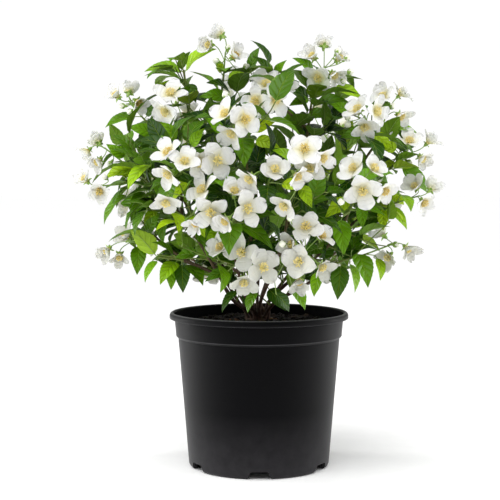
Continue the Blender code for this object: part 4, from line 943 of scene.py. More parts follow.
def add_leaf(skin, leaf, draw, tone=None, pattern=None):
    """One leaf: its stalk, its toothed folded blade, and the midrib that stands out below."""
    root, base, tip, half, normal = leaf
    axes = frame_of(tip - base, normal)
    length = (tip - base).length
    tone = draw.random() if tone is None else tone
    # Painted shade: a leaf low in the bush gets a darker tone
    lift = LOW_LEAF_TONE + (base.z - LOW_LEAF_HEIGHT) / LOW_LEAF_RISE
    tone *= min(1.0, max(LOW_LEAF_TONE, lift))
    spots, (upper, under) = pattern or LEAF_LENS
    u, v, face = spots.T
    width = half * np.sin(math.pi * u ** 0.62) ** 0.95
    margin = (face == 0) & (v != 0)
    step = np.rint(u / u[2]) % 2
    width = np.where(margin, width * (1 + LEAF_TEETH * (step - 0.5)), width)
    phase = draw.uniform(0, 6.3)
    wave = draw.uniform(0.02, 0.09) * np.sin(u * 11 + phase + (v > 0) * 2.4)
    curl = draw.uniform(-0.35, 0.35)
    droop = draw.uniform(0.0, 0.07)
    arch = LEAF_ARCH * 4 * u * (1 - u) - droop * (u ** 3 - u)
    x = v * width * (1 - 0.06 * v * v)
    z = length * arch + np.abs(v) * width * (LEAF_FOLD + wave * np.abs(v))
    z = z + v * width * curl * u * (1 - u)
    z = z + face * BLADE_THICKNESS / 2 * (1 - v * v) * np.minimum(1, 6 * np.minimum(u, 1 - u))
    corners = np.array(base) + np.stack([x, u * length, z], axis=1) @ axes
    patches = [(part, "leaf_upper") for part in upper]
    patches += [(part, "leaf_underside") for part in under]
    skin.add(corners, blade_values(u, v, tone), patches)

    way = (base - root).normalized()
    stalk = curve_points(root, way, base, (tip - base).normalized(), 3)
    ribs = np.linspace(0.04, 0.86, 6)
    rise = length * (LEAF_ARCH * 4 * ribs * (1 - ribs) - droop * (ribs ** 3 - ribs)) - 0.0003
    rib_points = np.array(base) + np.stack([ribs * 0, ribs * length, rise], axis=1) @ axes
    radii = [LEAF_STALK_RADIUS * 1.25] + [LEAF_STALK_RADIUS] * 3
    radii += list(np.linspace(0.0006, 0.00025, 6))
    skin.tube(list(stalk) + list(rib_points), radii, STALK_SIDES, "leaf_stalk", tone)


def petal_patch(skin, place, axes, turn, radius, opened, breadth, cup, draw, tone):
    """One broad petal, narrow at its foot, ruffled and more or less pointed at its end.

    It stands up until the flower opens.
    """
    spots, (upper, under) = PETAL_LENS
    u, v, face = spots.T
    s = 1 - (1 - u) ** 2
    half_width = radius * (0.5 + 0.5 / opened) * breadth * draw.uniform(0.92, 1.08)
    point = draw.uniform(*PETAL_POINT)
    broadest = 0.72 / (0.72 + point)
    width = half_width * (s / broadest) ** 0.72 * ((1 - s) / (1 - broadest)) ** point
    reach = radius * draw.uniform(0.98, 1.15)
    tilt = draw.uniform(-0.14, 0.22)
    fold = draw.uniform(-0.16, 0.28)
    size = radius / BLOOM_RADIUS
    bend = draw.uniform(-0.0030, 0.0036) * size
    rim = s * s * np.abs(v)
    wave = draw.uniform(0.0010, 0.0023) * np.sin(6 * s + 3.4 * v + draw.uniform(0, 6.3)) * rim
    wave += draw.uniform(0.0003, 0.0007) * np.sin(8.5 * v + draw.uniform(0, 6.3)) * s ** 3
    wave *= size ** 2
    end = draw.uniform(0.0, 0.10) * np.exp(-(v / 0.22) ** 2)
    end = end + 0.026 * np.sin(9.0 * v + draw.uniform(0, 6.3))
    x = v * width * (1 + 0.055 * np.sin(15 * u + draw.uniform(0, 6.3)))
    y = s * reach * (1 - end * u ** 5) + PETAL_FOOT
    y = y - min(1.0, 2 * (1 - opened)) * x * x / (2 * (y + 0.004))
    z = cup * (0.0056 * s - 0.0027 * s ** 3 + 0.0018 * v * v * s) + wave + x * tilt
    z = z + CUP_RISE * (1 - opened) * s ** 1.2 + size * fold * np.abs(x) + bend * s ** 3
    z = z + 0.0005 + face * PETAL_THICKNESS / 2 * (1 - v * v) * np.minimum(1, 5 * u)
    corners = place + np.stack([x, y, z], axis=1) @ turned(axes, turn)
    skin.add(corners, blade_values(s, v, tone), [(part, "petal") for part in upper + under])


def flower_axes(way):
    """Two directions square to a flower's way, and the way itself."""
    return tuple(np.array(row) for row in (*square_to(way), way))


def turned(axes, angle):
    """The side, outward and forward directions of a petal at an angle round its flower's axis."""
    out = axes[0] * math.cos(angle) + axes[1] * math.sin(angle)
    return np.array([np.cross(out, axes[2]), out, axes[2]])


def add_flower(skin, place, way, twist, radius, opened, root, draw):
    """One flower: petals, stamens, style, calyx and stalk."""
    axes = flower_axes(way)
    centre = np.array(place)
    tone = draw.random()
    cup = draw.uniform(*PETAL_CUP)
    breadth = draw.uniform(*PETAL_BREADTH)
    for k in range(4):
        turn = twist + math.pi / 2 * k + draw.uniform(-0.14, 0.14)
        petal_cup = cup * draw.uniform(0.8, 1.25)
        petal_patch(skin, centre, axes, turn, radius, opened, breadth, petal_cup, draw, tone)
    add_stamens(skin, centre, axes, 0.4 + 0.6 * opened, draw, tone)
    add_calyx(skin, centre, axes, twist + math.pi / 4, draw)
    add_stalk(skin, place - way * CALYX_DEPTH, way, place - way * BLOOM_NECK, root)


def ring(centre, axes, radius, height, sides):
    """Corners of a level ring about a flower's axis."""
    angles = np.linspace(0, 2 * math.pi, sides, endpoint=False)
    spokes = np.outer(np.cos(angles), axes[0]) + np.outer(np.sin(angles), axes[1])
    return centre + radius * spokes + height * axes[2]


def add_turned(skin, centre, axes, start, profile, end, sides, finish, tone):
    """A round body about a flower's axis, from radius and height pairs between two end heights."""
    rings = [ring(centre, axes, radius, height, sides) for radius, height in profile]
    skin.round_body(rings, centre + axes[2] * start, centre + axes[2] * end, finish, tone)


def add_stamens(skin, centre, axes, spread, draw, tone):
    """The tuft of curved filaments with yellow anthers, round the flower's heart and style."""
    way = axes[2]
    filament = [(part, "filament") for part in lathe_faces(3, 3)]
    anther = [(part, "anther") for part in lathe_faces(1, 4)]
    for k in range(STAMENS):
        out = turned(axes, 2.4 * k + draw.uniform(-0.3, 0.3))[1]
        share = math.sqrt((k + 0.5) / STAMENS)
        reach = (0.0015 + 0.0055 * share) * spread * draw.uniform(0.82, 1.10)
        height = (0.0096 - 0.0042 * share * share) * draw.uniform(0.86, 1.1)
        foot = centre + out * (0.0008 + 0.0022 * share)
        knee = centre + out * (0.001 + 0.55 * reach) + way * height * 0.55
        head = centre + out * reach + way * height
        rings = [ring(foot, axes, 0.00032, 0.0003, 3), ring(knee, axes, 0.00028, 0, 3),
                 ring(head, axes, 0.00022, 0, 3)]
        corners = np.vstack([[foot - way * 0.0004], *rings, [head + way * 0.0002]])
        skin.add(corners, (share, 0, tone), filament)
        along = np.array(Vector(out + way * draw.uniform(-0.4, 0.8)).normalized())
        size = draw.uniform(0.0010, 0.0014)
        side = np.cross(along, way)
        side /= max(1e-6, np.linalg.norm(side))
        arms = [side * size * 0.6, np.cross(side, along) * size * 0.6]
        middle = head + way * 0.0004
        corners = np.vstack([middle - along * size, *(middle + arm for arm in arms),
                             *(middle - arm for arm in arms), middle + along * size])
        skin.add(corners, (share, 0, tone), anther)
    heart = ((0.0028, 0.0004), (0.0026, 0.0014), (0.0016, 0.0022), (0.0006, 0.0032),
             (0.0004, 0.0060))
    add_turned(skin, centre, axes, 0, heart, 0.0064, 8, "flower_heart", tone)


def add_calyx(skin, centre, axes, turn, draw):
    """Four pointed sepals under the petals, and the cup-shaped ovary that they stand on."""
    spots, (upper, under) = SEPAL_LENS
    u, v, face = spots.T
    width = SEPAL_HALF_WIDTH * np.sin(math.pi * u ** 0.6) ** 0.9
    for k in range(4):
        droop = 0.0022 * u * u * draw.uniform(0.2, 1.2)
        z = -0.0016 + 0.0012 * u - droop + np.abs(v) * width * 0.25
        z = z + face * 0.0002 * (1 - v * v)
        local = turned(axes, turn + math.pi / 2 * k)
        corners = centre + np.stack([v * width, 0.0012 + u * SEPAL_LENGTH, z], axis=1) @ local
        skin.add(corners, blade_values(u, v, CALYX_TONE),
                 [(part, "calyx") for part in upper + under])
    cup = ((0.0009, -CALYX_DEPTH - 0.0010), (0.0016, -CALYX_DEPTH), (0.0024, -0.0036),
           (0.0029, -0.0020), (0.0026, -0.0006))
    add_turned(skin, centre, axes, -CALYX_DEPTH - 0.0012, cup, 0.0003, 10, "calyx", CALYX_TONE)


def add_stalk(skin, top, way, neck, root):
    """A flower's thin stalk, from its place on the axis up into the calyx."""
    points = curve_points(root, (neck - root).normalized(), top, way, 7)
    radii = np.linspace(FLOWER_STALK_RADIUS * 1.2, FLOWER_STALK_RADIUS * 1.3, 8)
    skin.tube(points, radii, STALK_SIDES, "flower_stalk")


def add_bud(skin, place, way, root, draw):
    """A closed bud: four furled petals that lap round each other, in a small green calyx."""
    axes = flower_axes(way)
    centre = np.array(place)
    size = draw.uniform(0.82, 1.0)
    turn = draw.uniform(0, 1.5)
    angles = np.linspace(0, 2 * math.pi, 16, endpoint=False)
    spokes = np.outer(np.cos(angles), axes[0]) + np.outer(np.sin(angles), axes[1])
    rings = []
    for share in np.linspace(0.05, 0.97, 9):
        height = (share - 0.5) * BUD_LENGTH * size
        reach = BUD_RADIUS * size * math.sin(math.pi * share ** 0.85) ** 0.7
        ribs = 1 + 0.07 * np.cos(4 * (angles + turn + 1.2 * share))
        rings.append(centre + axes[2] * height + (reach * ribs)[:, None] * spokes)
    half_length = axes[2] * BUD_LENGTH * size / 2
    skin.round_body(rings, centre - half_length, centre + half_length, "bud", draw.random())

    foot = centre - half_length
    spots, (upper, under) = SEPAL_LENS
    u, v, face = spots.T
    width = 0.0030 * size * np.sin(math.pi * u ** 0.6) ** 0.9
    share = np.clip(u * BUD_SEPAL_SHARE, 0.02, 1)
    reach = BUD_RADIUS * size * np.sin(math.pi * share ** 0.85) ** 0.7 + 0.0003
    drop = reach * (1 - np.sqrt(np.maximum(0, 1 - (v * width / np.maximum(reach, 1e-4)) ** 2)))
    z = -(reach - drop) - face * 0.00015 * (1 - v * v)
    y = u * BUD_LENGTH * size * BUD_SEPAL_SHARE
    for k in range(4):
        side, out, _ = turned(axes, turn + math.pi / 2 * k)
        local = np.array([side, axes[2], -out])
        corners = foot + np.stack([v * width, y, z], axis=1) @ local
        skin.add(corners, blade_values(u, v, CALYX_TONE),
                 [(part[:, ::-1], "calyx") for part in upper + under])
    cup = ((0.0009, -0.0034), (0.0015, -0.0026), (0.0020, -0.0012), (0.0021, 0.0004),
           (0.0016, 0.0012))
    add_turned(skin, foot, axes, -0.0036, cup, 0.0014, 8, "calyx", CALYX_TONE)
    top = Vector(foot) - way * 0.003
    add_stalk(skin, top, way, top - way * 0.004, root)


def smooth_line(points, steps):
    """A rounder line through the same points, and each new point's share of the old ones' count."""
    spots, shares = [], []
    ends = [points[0] * 2 - points[1]] + list(points) + [points[-1] * 2 - points[-2]]
    count = len(points) - 1
    for i in range(count):
        a, b, c, d = ends[i:i + 4]
        for k in range(steps + (i == count - 1)):
            t = k / steps
            spots.append(0.5 * (2 * b + (c - a) * t + (2 * a - 5 * b + 4 * c - d) * t * t
                                + (3 * b - a - 3 * c + d) * t ** 3))
            shares.append((i + t) / count)
    return spots, shares


def add_cane(skin, points, first):
    """A woody cane with slight swellings where it has borne leaves, and a little crookedness."""
    spots, shares = smooth_line(points, CANE_STEPS)
    radii, bent = [], []
    for spot, share in zip(spots, shares):
        knot = CANE_KNOT * max(0.0, math.cos(share * 40)) ** 6
        radii.append((first + (CANE_TIP_RADIUS - first) * share) * CANE_SLIM * (1 + knot))
        sway = noise.noise_vector(spot * 22) * CANE_SWAY * min(1, 6 * share, 6 * (1 - share))
        bent.append(spot + sway)
    skin.tube(bent, np.array(radii), CANE_SIDES, "bark")


def add_crown(skin):
    """The knobbly woody crown that the canes spring from, half sunk in the soil."""
    rings = []
    for radius, height in ((0.0200, 0.178), (0.0245, 0.190), (0.0250, 0.204), (0.0235, 0.2105),
                           (0.0190, 0.2150), (0.0120, 0.2178), (0.0050, 0.2188)):
        row = []
        for k in range(CROWN_SIDES):
            angle = 2 * math.pi * k / CROWN_SIDES
            spot = Vector((math.cos(angle), math.sin(angle), height * 14))
            reach = radius * (1 + 0.16 * noise.noise(spot * 2.1)) + 0.0006 * noise.noise(spot * 9)
            row.append((reach * math.cos(angle), reach * math.sin(angle), height))
        rings.append(row)
    skin.round_body(rings, (0, 0, 0.177), (0, 0, 0.2190), "bark")


def dress_wood(canes):
    """The crown, the canes and their side branches, as one piece."""
    skin = Skin()
    add_crown(skin)
    for cane in CANES:
        first = CANE_RADIUS if cane.parent is None else CANE_RADIUS * 0.8
        add_cane(skin, canes[cane.name], first)
    for shoot in SHOOTS:
        branch = shoot_lines(shoot, canes)[2]
        if branch is not None:
            foot, start = branch
            middle = (foot + start) / 2 + noise.noise_vector(foot * 30) * 0.0008
            radii = np.array([BRANCH_RADIUS * 1.3, BRANCH_RADIUS * 1.1, BRANCH_RADIUS])
            skin.tube([foot, middle, start], radii, BRANCH_SIDES, "bark")
    skin.piece("woody_canes_and_crown", "woody_stems")


def dress_shoot(number, shoot, canes, fine, draw):
    """One leafy shoot: its green twigs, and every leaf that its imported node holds."""
    skin = Skin()
    node = f"leafy_shoot_{number:02d}"
    marks = Marks(node)
    twigs, curves, _, _ = shoot_lines(shoot, canes)
    for index, curve in enumerate(curves):
        first = TWIG_RADIUS if index == 0 else TWIG_TIP_RADIUS
        radii = np.linspace(first, TWIG_TIP_RADIUS, len(curve))
        skin.tube(curve, radii, TWIG_SIDES, "green_twig")
    leaves = list(read_leaves(shoot, twigs, marks))
    pairs = FRONT_PAIRS if shoot.leaves else BACK_PAIRS
    for points in twigs:
        leaves += ruled_leaves(points, pairs, marks, draw)
    for leaf in leaves:
        add_leaf(skin, leaf, fine)
    skin.piece(f"{shoot.name}_leafy_shoot", node)


def dress_cane_leaves(canes, draw):
    """The leaves that the canes themselves bear, each on a short twig of its own."""
    skin = Skin()
    for cane, share, tone, leaf in CANE_LEAVES:
        root, way = along_line(canes[cane], share)
        base = photo_point(leaf.col, leaf.row, leaf.lean)
        tip = photo_point(leaf.tip_col, leaf.tip_row, leaf.lean + CANE_LEAF_LEAN)
        neck = base - (tip - base).normalized() * STALK_LENGTH
        start_way = (neck - root).normalized() + way
        line = curve_points(root, start_way, neck, (base - neck).normalized(), 6)
        skin.tube(line, np.linspace(0.0013, 0.0008, 7), INNER_TWIG_SIDES, "green_twig")
        half = (tip - base).length * LEAF_RATIO / 2
        normal = turned_normal(base, tip, half, leaf.width)
        add_leaf(skin, (neck, base, tip, half, normal), draw, tone)
    skin.piece("cane_leaves")


def dress_spray(number, spray, start, back, flowers, fine):
    """One flower spray: its green axis, its flowers and its buds."""
    skin = Skin()
    node = f"flower_spray_{number:02d}"
    marks = Marks(node)
    points = [start, start + (back - start) * 0.55, back]
    way = (back - start).normalized()
    radii = np.array([AXIS_RADIUS, AXIS_RADIUS, AXIS_TIP_RADIUS])
    skin.tube([start - way * GAP * 2, points[1], back], radii, TWIG_SIDES, "flower_stalk")
    for index, (place, face, twist, radius, opened) in enumerate(flowers):
        neck = place - face * BLOOM_NECK
        roots = [along_line(points, share - 0.03 * index)[0] for share in ROOT_TRIALS]
        root = min(roots, key=lambda spot: marks.off_surface((neck + spot) / 2))
        add_flower(skin, place, face, twist, radius, opened, sunk(neck, root), fine)
    for place, face, root in placed_buds(spray, points, marks):
        add_bud(skin, place, face, sunk(place, root), fine)
    skin.piece(f"{spray.name}_flower_spray", node)


def lathe_rings(profile, sides, corner):
    """Rings about Z from radius and height pairs, by a rule that gives each corner's place."""
    angles = [2 * math.pi * (k + 0.5) / sides for k in range(sides)]
    return [[corner(radius, height, angle) for angle in angles] for radius, height in profile]


def upright(radius, height, angle):
    """A corner at its own height; angle 0 faces the front."""
    return (radius * math.sin(angle), -radius * math.cos(angle), height)


def on_soil(radius, _, angle):
    """A corner on the soil's top."""
    x, y, _ = upright(radius, 0, angle)
    return (x, y, soil_height(x, y))


def pot_profile():
    """The pot's wall, from the middle of the underside up the outside and down the inside."""
    recess = FOOT_RING + FOOT_FILLET
    profile = [(0.020, FLOOR_UNDERSIDE), (recess - 0.0012, FLOOR_UNDERSIDE),
               (recess, FLOOR_UNDERSIDE - 0.0012), (recess, FOOT_FILLET),
               (FOOT_RING + 0.0006, 0.0004), (FOOT_RING + 0.0016, 0.0),
               (BODY_FOOT_RADIUS - FOOT_FILLET, 0.0)]
    for k in range(1, 7):
        angle = math.pi / 2 * k / 6
        profile.append((BODY_FOOT_RADIUS - FOOT_FILLET * (1 - math.sin(angle)),
                        FOOT_FILLET * (1 - math.cos(angle))))
    shoulder = COLLAR_FOOT - 0.003
    for k in range(1, 24):
        share = k / 24
        height = FOOT_FILLET + (shoulder - FOOT_FILLET) * share
        profile.append((BODY_FOOT_RADIUS + (BODY_TOP_RADIUS - BODY_FOOT_RADIUS) * share, height))
    profile += [(BODY_TOP_RADIUS, shoulder), (BODY_TOP_RADIUS + 0.0006, shoulder + 0.0004),
                (COLLAR_FOOT_RADIUS - 0.0006, COLLAR_FOOT - 0.0009),
                (COLLAR_FOOT_RADIUS, COLLAR_FOOT),
                (COLLAR_FOOT_RADIUS + 0.0002, COLLAR_FOOT + 0.0008)]
    under = POT_HEIGHT - LIP_HEIGHT
    for k in range(1, 6):
        share = k / 6
        profile.append((COLLAR_FOOT_RADIUS + (COLLAR_TOP_RADIUS - COLLAR_FOOT_RADIUS) * share,
                        COLLAR_FOOT + 0.0008 + (under - COLLAR_FOOT - 0.0022) * share))
    profile += [(COLLAR_TOP_RADIUS, under - 0.0008), (COLLAR_TOP_RADIUS + 0.0008, under),
                (LIP_RADIUS - 0.0012, under), (LIP_RADIUS - 0.0003, under + 0.0004),
                (LIP_RADIUS, under + 0.0014), (LIP_RADIUS, under + 0.0044),
                (LIP_RADIUS - 0.0005, under + 0.0064), (LIP_RADIUS - 0.0016, under + 0.0080),
                (LIP_RADIUS - 0.0030, POT_HEIGHT - 0.0002), (CREST_RADIUS - 0.0006, POT_HEIGHT),
                (CREST_RADIUS - 0.0020, POT_HEIGHT - 0.0006),
                (CREST_RADIUS - 0.0032, POT_HEIGHT - 0.0024),
                (COLLAR_TOP_RADIUS - WALL + 0.0004, under),
                (COLLAR_TOP_RADIUS - WALL, under - 0.003),
                (BODY_TOP_RADIUS - WALL, shoulder), (BODY_FOOT_RADIUS - WALL, FLOOR_TOP + 0.002),
                (BODY_FOOT_RADIUS - WALL - 0.002, FLOOR_TOP), (0.020, FLOOR_TOP)]
    return profile


def notch_cutter(number):
    """A tapered block with a rounded top that cuts one drain notch through the foot of the wall."""
    section = [(-NOTCH_FOOT_WIDTH / 2, -0.004), (NOTCH_FOOT_WIDTH / 2, -0.004)]
    for side in (1, -1):
        middle = side * (NOTCH_TOP_WIDTH / 2 - NOTCH_CORNER)
        for k in range(5):
            angle = math.pi / 2 * k / 4 if side == 1 else math.pi / 2 * (1 + k / 4)
            section.append((middle + NOTCH_CORNER * math.cos(angle),
                            NOTCH_HEIGHT - NOTCH_CORNER + NOTCH_CORNER * math.sin(angle)))
    turn = Matrix.Rotation(2 * math.pi * number / NOTCHES, 3, "Z")
    rings, ends = [], []
    for reach in (NOTCH_INNER_RADIUS, BODY_FOOT_RADIUS + 0.02):
        rings.append([tuple(turn @ Vector((x, -reach, z))) for x, z in section])
        ends.append(tuple(turn @ Vector((0, -reach, NOTCH_HEIGHT / 2))))
    skin = Skin()
    skin.round_body(rings, *ends, "pot_plastic")
    mesh = bpy.data.meshes.new(f"notch_{number + 1}")
    mesh.from_pydata(np.vstack(skin.corners).tolist(), [],
                     [face.tolist() for faces, _ in skin.patches for face in faces])
    shape = bmesh.new()
    shape.from_mesh(mesh)
    bmesh.ops.recalc_face_normals(shape, faces=shape.faces)
    shape.to_mesh(mesh)
    shape.free()
    return add_object(mesh.name, mesh)


def dress_pot():
    """The moulded pot, turned as one wall and cut by its drain notches."""
    skin = Skin()
    rings = lathe_rings(pot_profile(), POT_SIDES, upright)
    skin.round_body(rings, (0, 0, FLOOR_UNDERSIDE), (0, 0, FLOOR_TOP), "pot_plastic")
    pot = skin.piece("nursery_pot", "pot", POT_SHARP)
    cutters = [notch_cutter(number) for number in range(NOTCHES)]
    for cutter in cutters:
        cut = pot.modifiers.new(cutter.name, "BOOLEAN")
        cut.operation = "DIFFERENCE"
        cut.solver = "EXACT"
        cut.object = cutter
    bpy.context.view_layer.update()
    cut_pot = pot.evaluated_get(bpy.context.evaluated_depsgraph_get())
    mesh = bpy.data.meshes.new_from_object(cut_pot)
    pot.modifiers.clear()
    pot.data = mesh
    for cutter in cutters:
        bpy.data.objects.remove(cutter)
    mesh.set_sharp_from_angle(angle=math.radians(POT_SHARP))
    mesh.materials.append(MATERIALS["pot_inside"])
    for face in mesh.polygons:
        inward = face.normal.x * face.center.x + face.normal.y * face.center.y < 0
        if inward and FLOOR_TOP < face.center.z < POT_HEIGHT - 0.003:
            face.material_index = 1


def soil_height(x, y):
    """The uneven top of the soil, lower at its edge than at the crown."""
    reach = math.hypot(x, y) / SOIL_REACH
    height = SOIL_EDGE + (SOIL_MOUND - SOIL_EDGE) * max(0.0, 1 - reach * reach)
    for depth, scale in SOIL_BUMPS:
        height += depth * noise.noise(Vector((x, y, 0)) * scale)
    return height


def dress_soil():
    """The root ball, with its top broken up into crumbs."""
    wall = BODY_FOOT_RADIUS - WALL - 0.0006
    top = BODY_TOP_RADIUS - WALL - 0.0006
    side = [(0.03, FLOOR_TOP + 0.0004), (wall - 0.003, FLOOR_TOP + 0.0004),
            (wall, FLOOR_TOP + 0.003), (top, COLLAR_FOOT - 0.004), (top + 0.0008, 0.2020)]
    crumbs = [((top + 0.0010) * (1 - (k + 0.4) / (SOIL_RINGS + 0.5)), 0) for k in range(SOIL_RINGS)]
    rings = lathe_rings(side, SOIL_SIDES, upright) + lathe_rings(crumbs, SOIL_SIDES, on_soil)
    skin = Skin()
    skin.round_body(rings, (0, 0, FLOOR_TOP + 0.0004), (0, 0, soil_height(0, 0)), "soil")
    skin.piece("potting_soil", "soil", SOIL_SHARP)


def dress_chips(draw):
    """Flat splinters of bark strewn over the soil, dark and reddish ones mixed."""
    skin = Skin()
    patches = [(part, "bark_chip") for part in lathe_faces(2, 6)]
    for _ in range(BARK_CHIPS):
        angle = draw.uniform(0, 2 * math.pi)
        radius = CHIP_FIELD * math.sqrt(draw.uniform(0.03, 1))
        long, wide = draw.uniform(*CHIP_LENGTH), draw.uniform(0.45, 0.8)
        thick = draw.uniform(*CHIP_THICKNESS)
        if radius + long > CHIP_LIMIT:
            radius = CHIP_LIMIT - long
        x, y, height = on_soil(radius, 0, angle)
        turn = (Matrix.Rotation(draw.uniform(0, 6.3), 3, "Z")
                @ Matrix.Rotation(draw.uniform(-0.4, 0.4), 3, "X")
                @ Matrix.Rotation(draw.uniform(-0.4, 0.4), 3, "Y"))
        outline = [(long * math.cos(k * math.pi / 3) * draw.uniform(0.8, 1.1),
                    long * wide * math.sin(k * math.pi / 3) * draw.uniform(0.7, 1.15))
                   for k in range(6)]
        centre = np.array((x, y, height + thick * draw.uniform(0.2, 1.6)))
        lower, upper = ([(px, py, side * thick) for px, py in outline] for side in (-1, 1))
        corners = np.array([(0, 0, -thick), *lower, *upper, (0, 0, thick * 1.2)])
        corners = centre + corners @ np.array(turn).T
        fresh = 0.62 + 0.38 * math.exp(-(x / 0.045) ** 2) * (y < 0)
        skin.add(corners, (0, 0, draw.random() * fresh), patches)
    skin.piece("bark_chips", None, CHIP_SHARP)


class Crowd:
    """All that already grows, so that an inner leaf can be kept clear of it."""

    def __init__(self):
        corners, faces = [], []
        for node in frame["nodes"].values():
            first = len(corners)
            corners += [corner.co for corner in node.data.vertices]
            faces += [[first + k for k in face.vertices] for face in node.data.polygons]
        self.tree = BVHTree.FromPolygons(corners, faces)
        self.grown = []

    def clear(self, probe):
        """Adds a probe, as corners and faces, and says so if it crosses nothing."""
        corners, faces = probe
        tree = BVHTree.FromPolygons(corners, faces)
        if tree.overlap(self.tree):
            return False
        centre = sum(corners, Vector()) / len(corners)
        reach = max((corner - centre).length for corner in corners)
        for other_centre, other_reach, other in self.grown:
            if (centre - other_centre).length < reach + other_reach and tree.overlap(other):
                return False
        self.grown.append((centre, reach, tree))
        return True


def leaf_probe(leaf):
    """A leaf as a few triangles, without its stalk."""
    _, base, tip, half, normal = leaf
    side, along, up = (Vector(row) for row in frame_of(tip - base, normal))
    length = (tip - base).length
    corners = [base + along * length * 0.03]
    for share, width in ((0.15, 0.8), (0.4, 1.0), (0.7, 0.65)):
        middle = base + along * length * share + up * length * LEAF_ARCH * 4 * share * (1 - share)
        reach, lift = side * half * width, up * half * width * LEAF_FOLD
        corners += [middle - reach + lift, middle, middle + reach + lift]
    corners.append(tip)
    faces = [(0, 2, 1), (0, 3, 2), (7, 8, 10), (8, 9, 10)]
    for row in (1, 4):
        faces += [(row, row + 1, row + 4, row + 3), (row + 1, row + 2, row + 5, row + 4)]
    return corners, faces


def line_probe(points):
    """A twig as a thin three-sided strip round its line."""
    corners, faces = [], []
    for point in points:
        for k in range(3):
            angle = 2 * math.pi * k / 3
            spoke = Vector((math.cos(angle), math.sin(angle), 0.3 * k))
            corners.append(point + spoke * PROBE_RADIUS)
    for row in range(0, 3 * (len(points) - 1), 3):
        for k in range(3):
            n = (k + 1) % 3
            faces.append((row + k, row + n, row + 3 + n, row + 3 + k))
    return corners, faces


def seen_pixel(place):
    """The photograph's column and row where a place is seen."""
    sight = place - EYE
    ahead = sight.y * math.cos(EYE_PITCH) - sight.z * math.sin(EYE_PITCH)
    up = sight.y * math.sin(EYE_PITCH) + sight.z * math.cos(EYE_PITCH)
    return PHOTO_CENTRE + PHOTO_FOCAL * sight.x / ahead, PHOTO_CENTRE - PHOTO_FOCAL * up / ahead


def bush_share(place):
    """How far out from the bush's middle a place lies, 1 being the surface of its dome."""
    centre = photo_point(DOME_COL, DOME_ROW, 0)
    scale = (centre - EYE).length / PHOTO_FOCAL
    halves = (DOME_HALF_COLS * scale, DOME_DEPTH, DOME_HALF_ROWS * scale)
    return math.sqrt(sum(((place[k] - centre[k]) / halves[k]) ** 2 for k in range(3)))


def in_bush(place):
    """Whether a place is where inner leaves may grow: deep enough, above the skirt, in no gap."""
    if bush_share(place) > INNER_REACH or place.z < SKIRT_HEIGHT:
        return False
    col, row = seen_pixel(place)
    return all(math.hypot(col - gap[0], row - gap[1]) > gap[2] for gap in SEEN_GAPS)


def inner_twig(place, way, draw):
    """A short leafy side twig from a cane, bending out and up towards the light."""
    first, second = square_to(way)
    turn = draw.uniform(0, 2 * math.pi)
    arm = first * math.cos(turn) + second * math.sin(turn)
    out = (place - DOME_CENTRE).normalized()
    aim = (arm + way * 0.5 + out * 0.7 + Vector((0, 0, 0.15))).normalized()
    end = place + aim * draw.uniform(*INNER_TWIG_LENGTH)
    end_way = (aim + Vector((0, 0, 0.35)) + out * 0.3).normalized()
    return curve_points(place, aim, end, end_way, 6)


def grow_inner_leaves(twig, crowd, draw):
    """Leaf pairs along a twig, wherever they are clear and within the bush."""
    grown = []
    turn = draw.uniform(0, math.pi)
    for share in INNER_LEAF_SHARES:
        turn += math.pi / 2 + draw.uniform(-0.25, 0.25)
        place, way = along_line(twig, share)
        for side in (0, 1):
            length = draw.uniform(*INNER_LEAF_LENGTH)
            for _ in range(INNER_LEAF_TRIALS):
                rise, swing = draw.uniform(-0.4, 0.5), draw.uniform(-0.45, 0.45)
                leaf = ruled_leaf(place, way, turn + math.pi * side, length, rise, swing)
                spots = (leaf[1] * 0.4 + leaf[2] * 0.6, leaf[2])
                if all(in_bush(spot) for spot in spots) and crowd.clear(leaf_probe(leaf)):
                    grown.append(leaf)
                    break
    return grown


def dress_inner(name, lines, bare_share, crowd, draw):
    """The leafy side twigs that fill the bush along the lines of one cane or shoot."""
    skin = Skin()
    for points in lines:
        share = bare_share
        while share < 0.97:
            place, way = along_line(points, share)
            for _ in range(INNER_TWIG_TRIALS):
                twig = inner_twig(place, way, draw)
                if in_bush(twig[-1]) and crowd.clear(line_probe(twig[1:])):
                    leaves = grow_inner_leaves(twig, crowd, draw)
                    if leaves:
                        radii = np.linspace(*INNER_TWIG_RADII, len(twig))
                        skin.tube(twig, radii, INNER_TWIG_SIDES, "green_twig")
                    for leaf in leaves:
                        # Painted shade: leaves deep in the bush get darker tones
                        lit = (bush_share(leaf[1]) - INNER_DARK_SHARE) / INNER_LIT_RISE
                        tone = draw.uniform(0.0, INNER_TONE) * min(1.0, max(0.0, lit))
                        add_leaf(skin, leaf, draw, tone, INNER_LENS)
            share += INNER_TWIG_GAP / line_length(points)
    if skin.count:
        skin.piece(name)


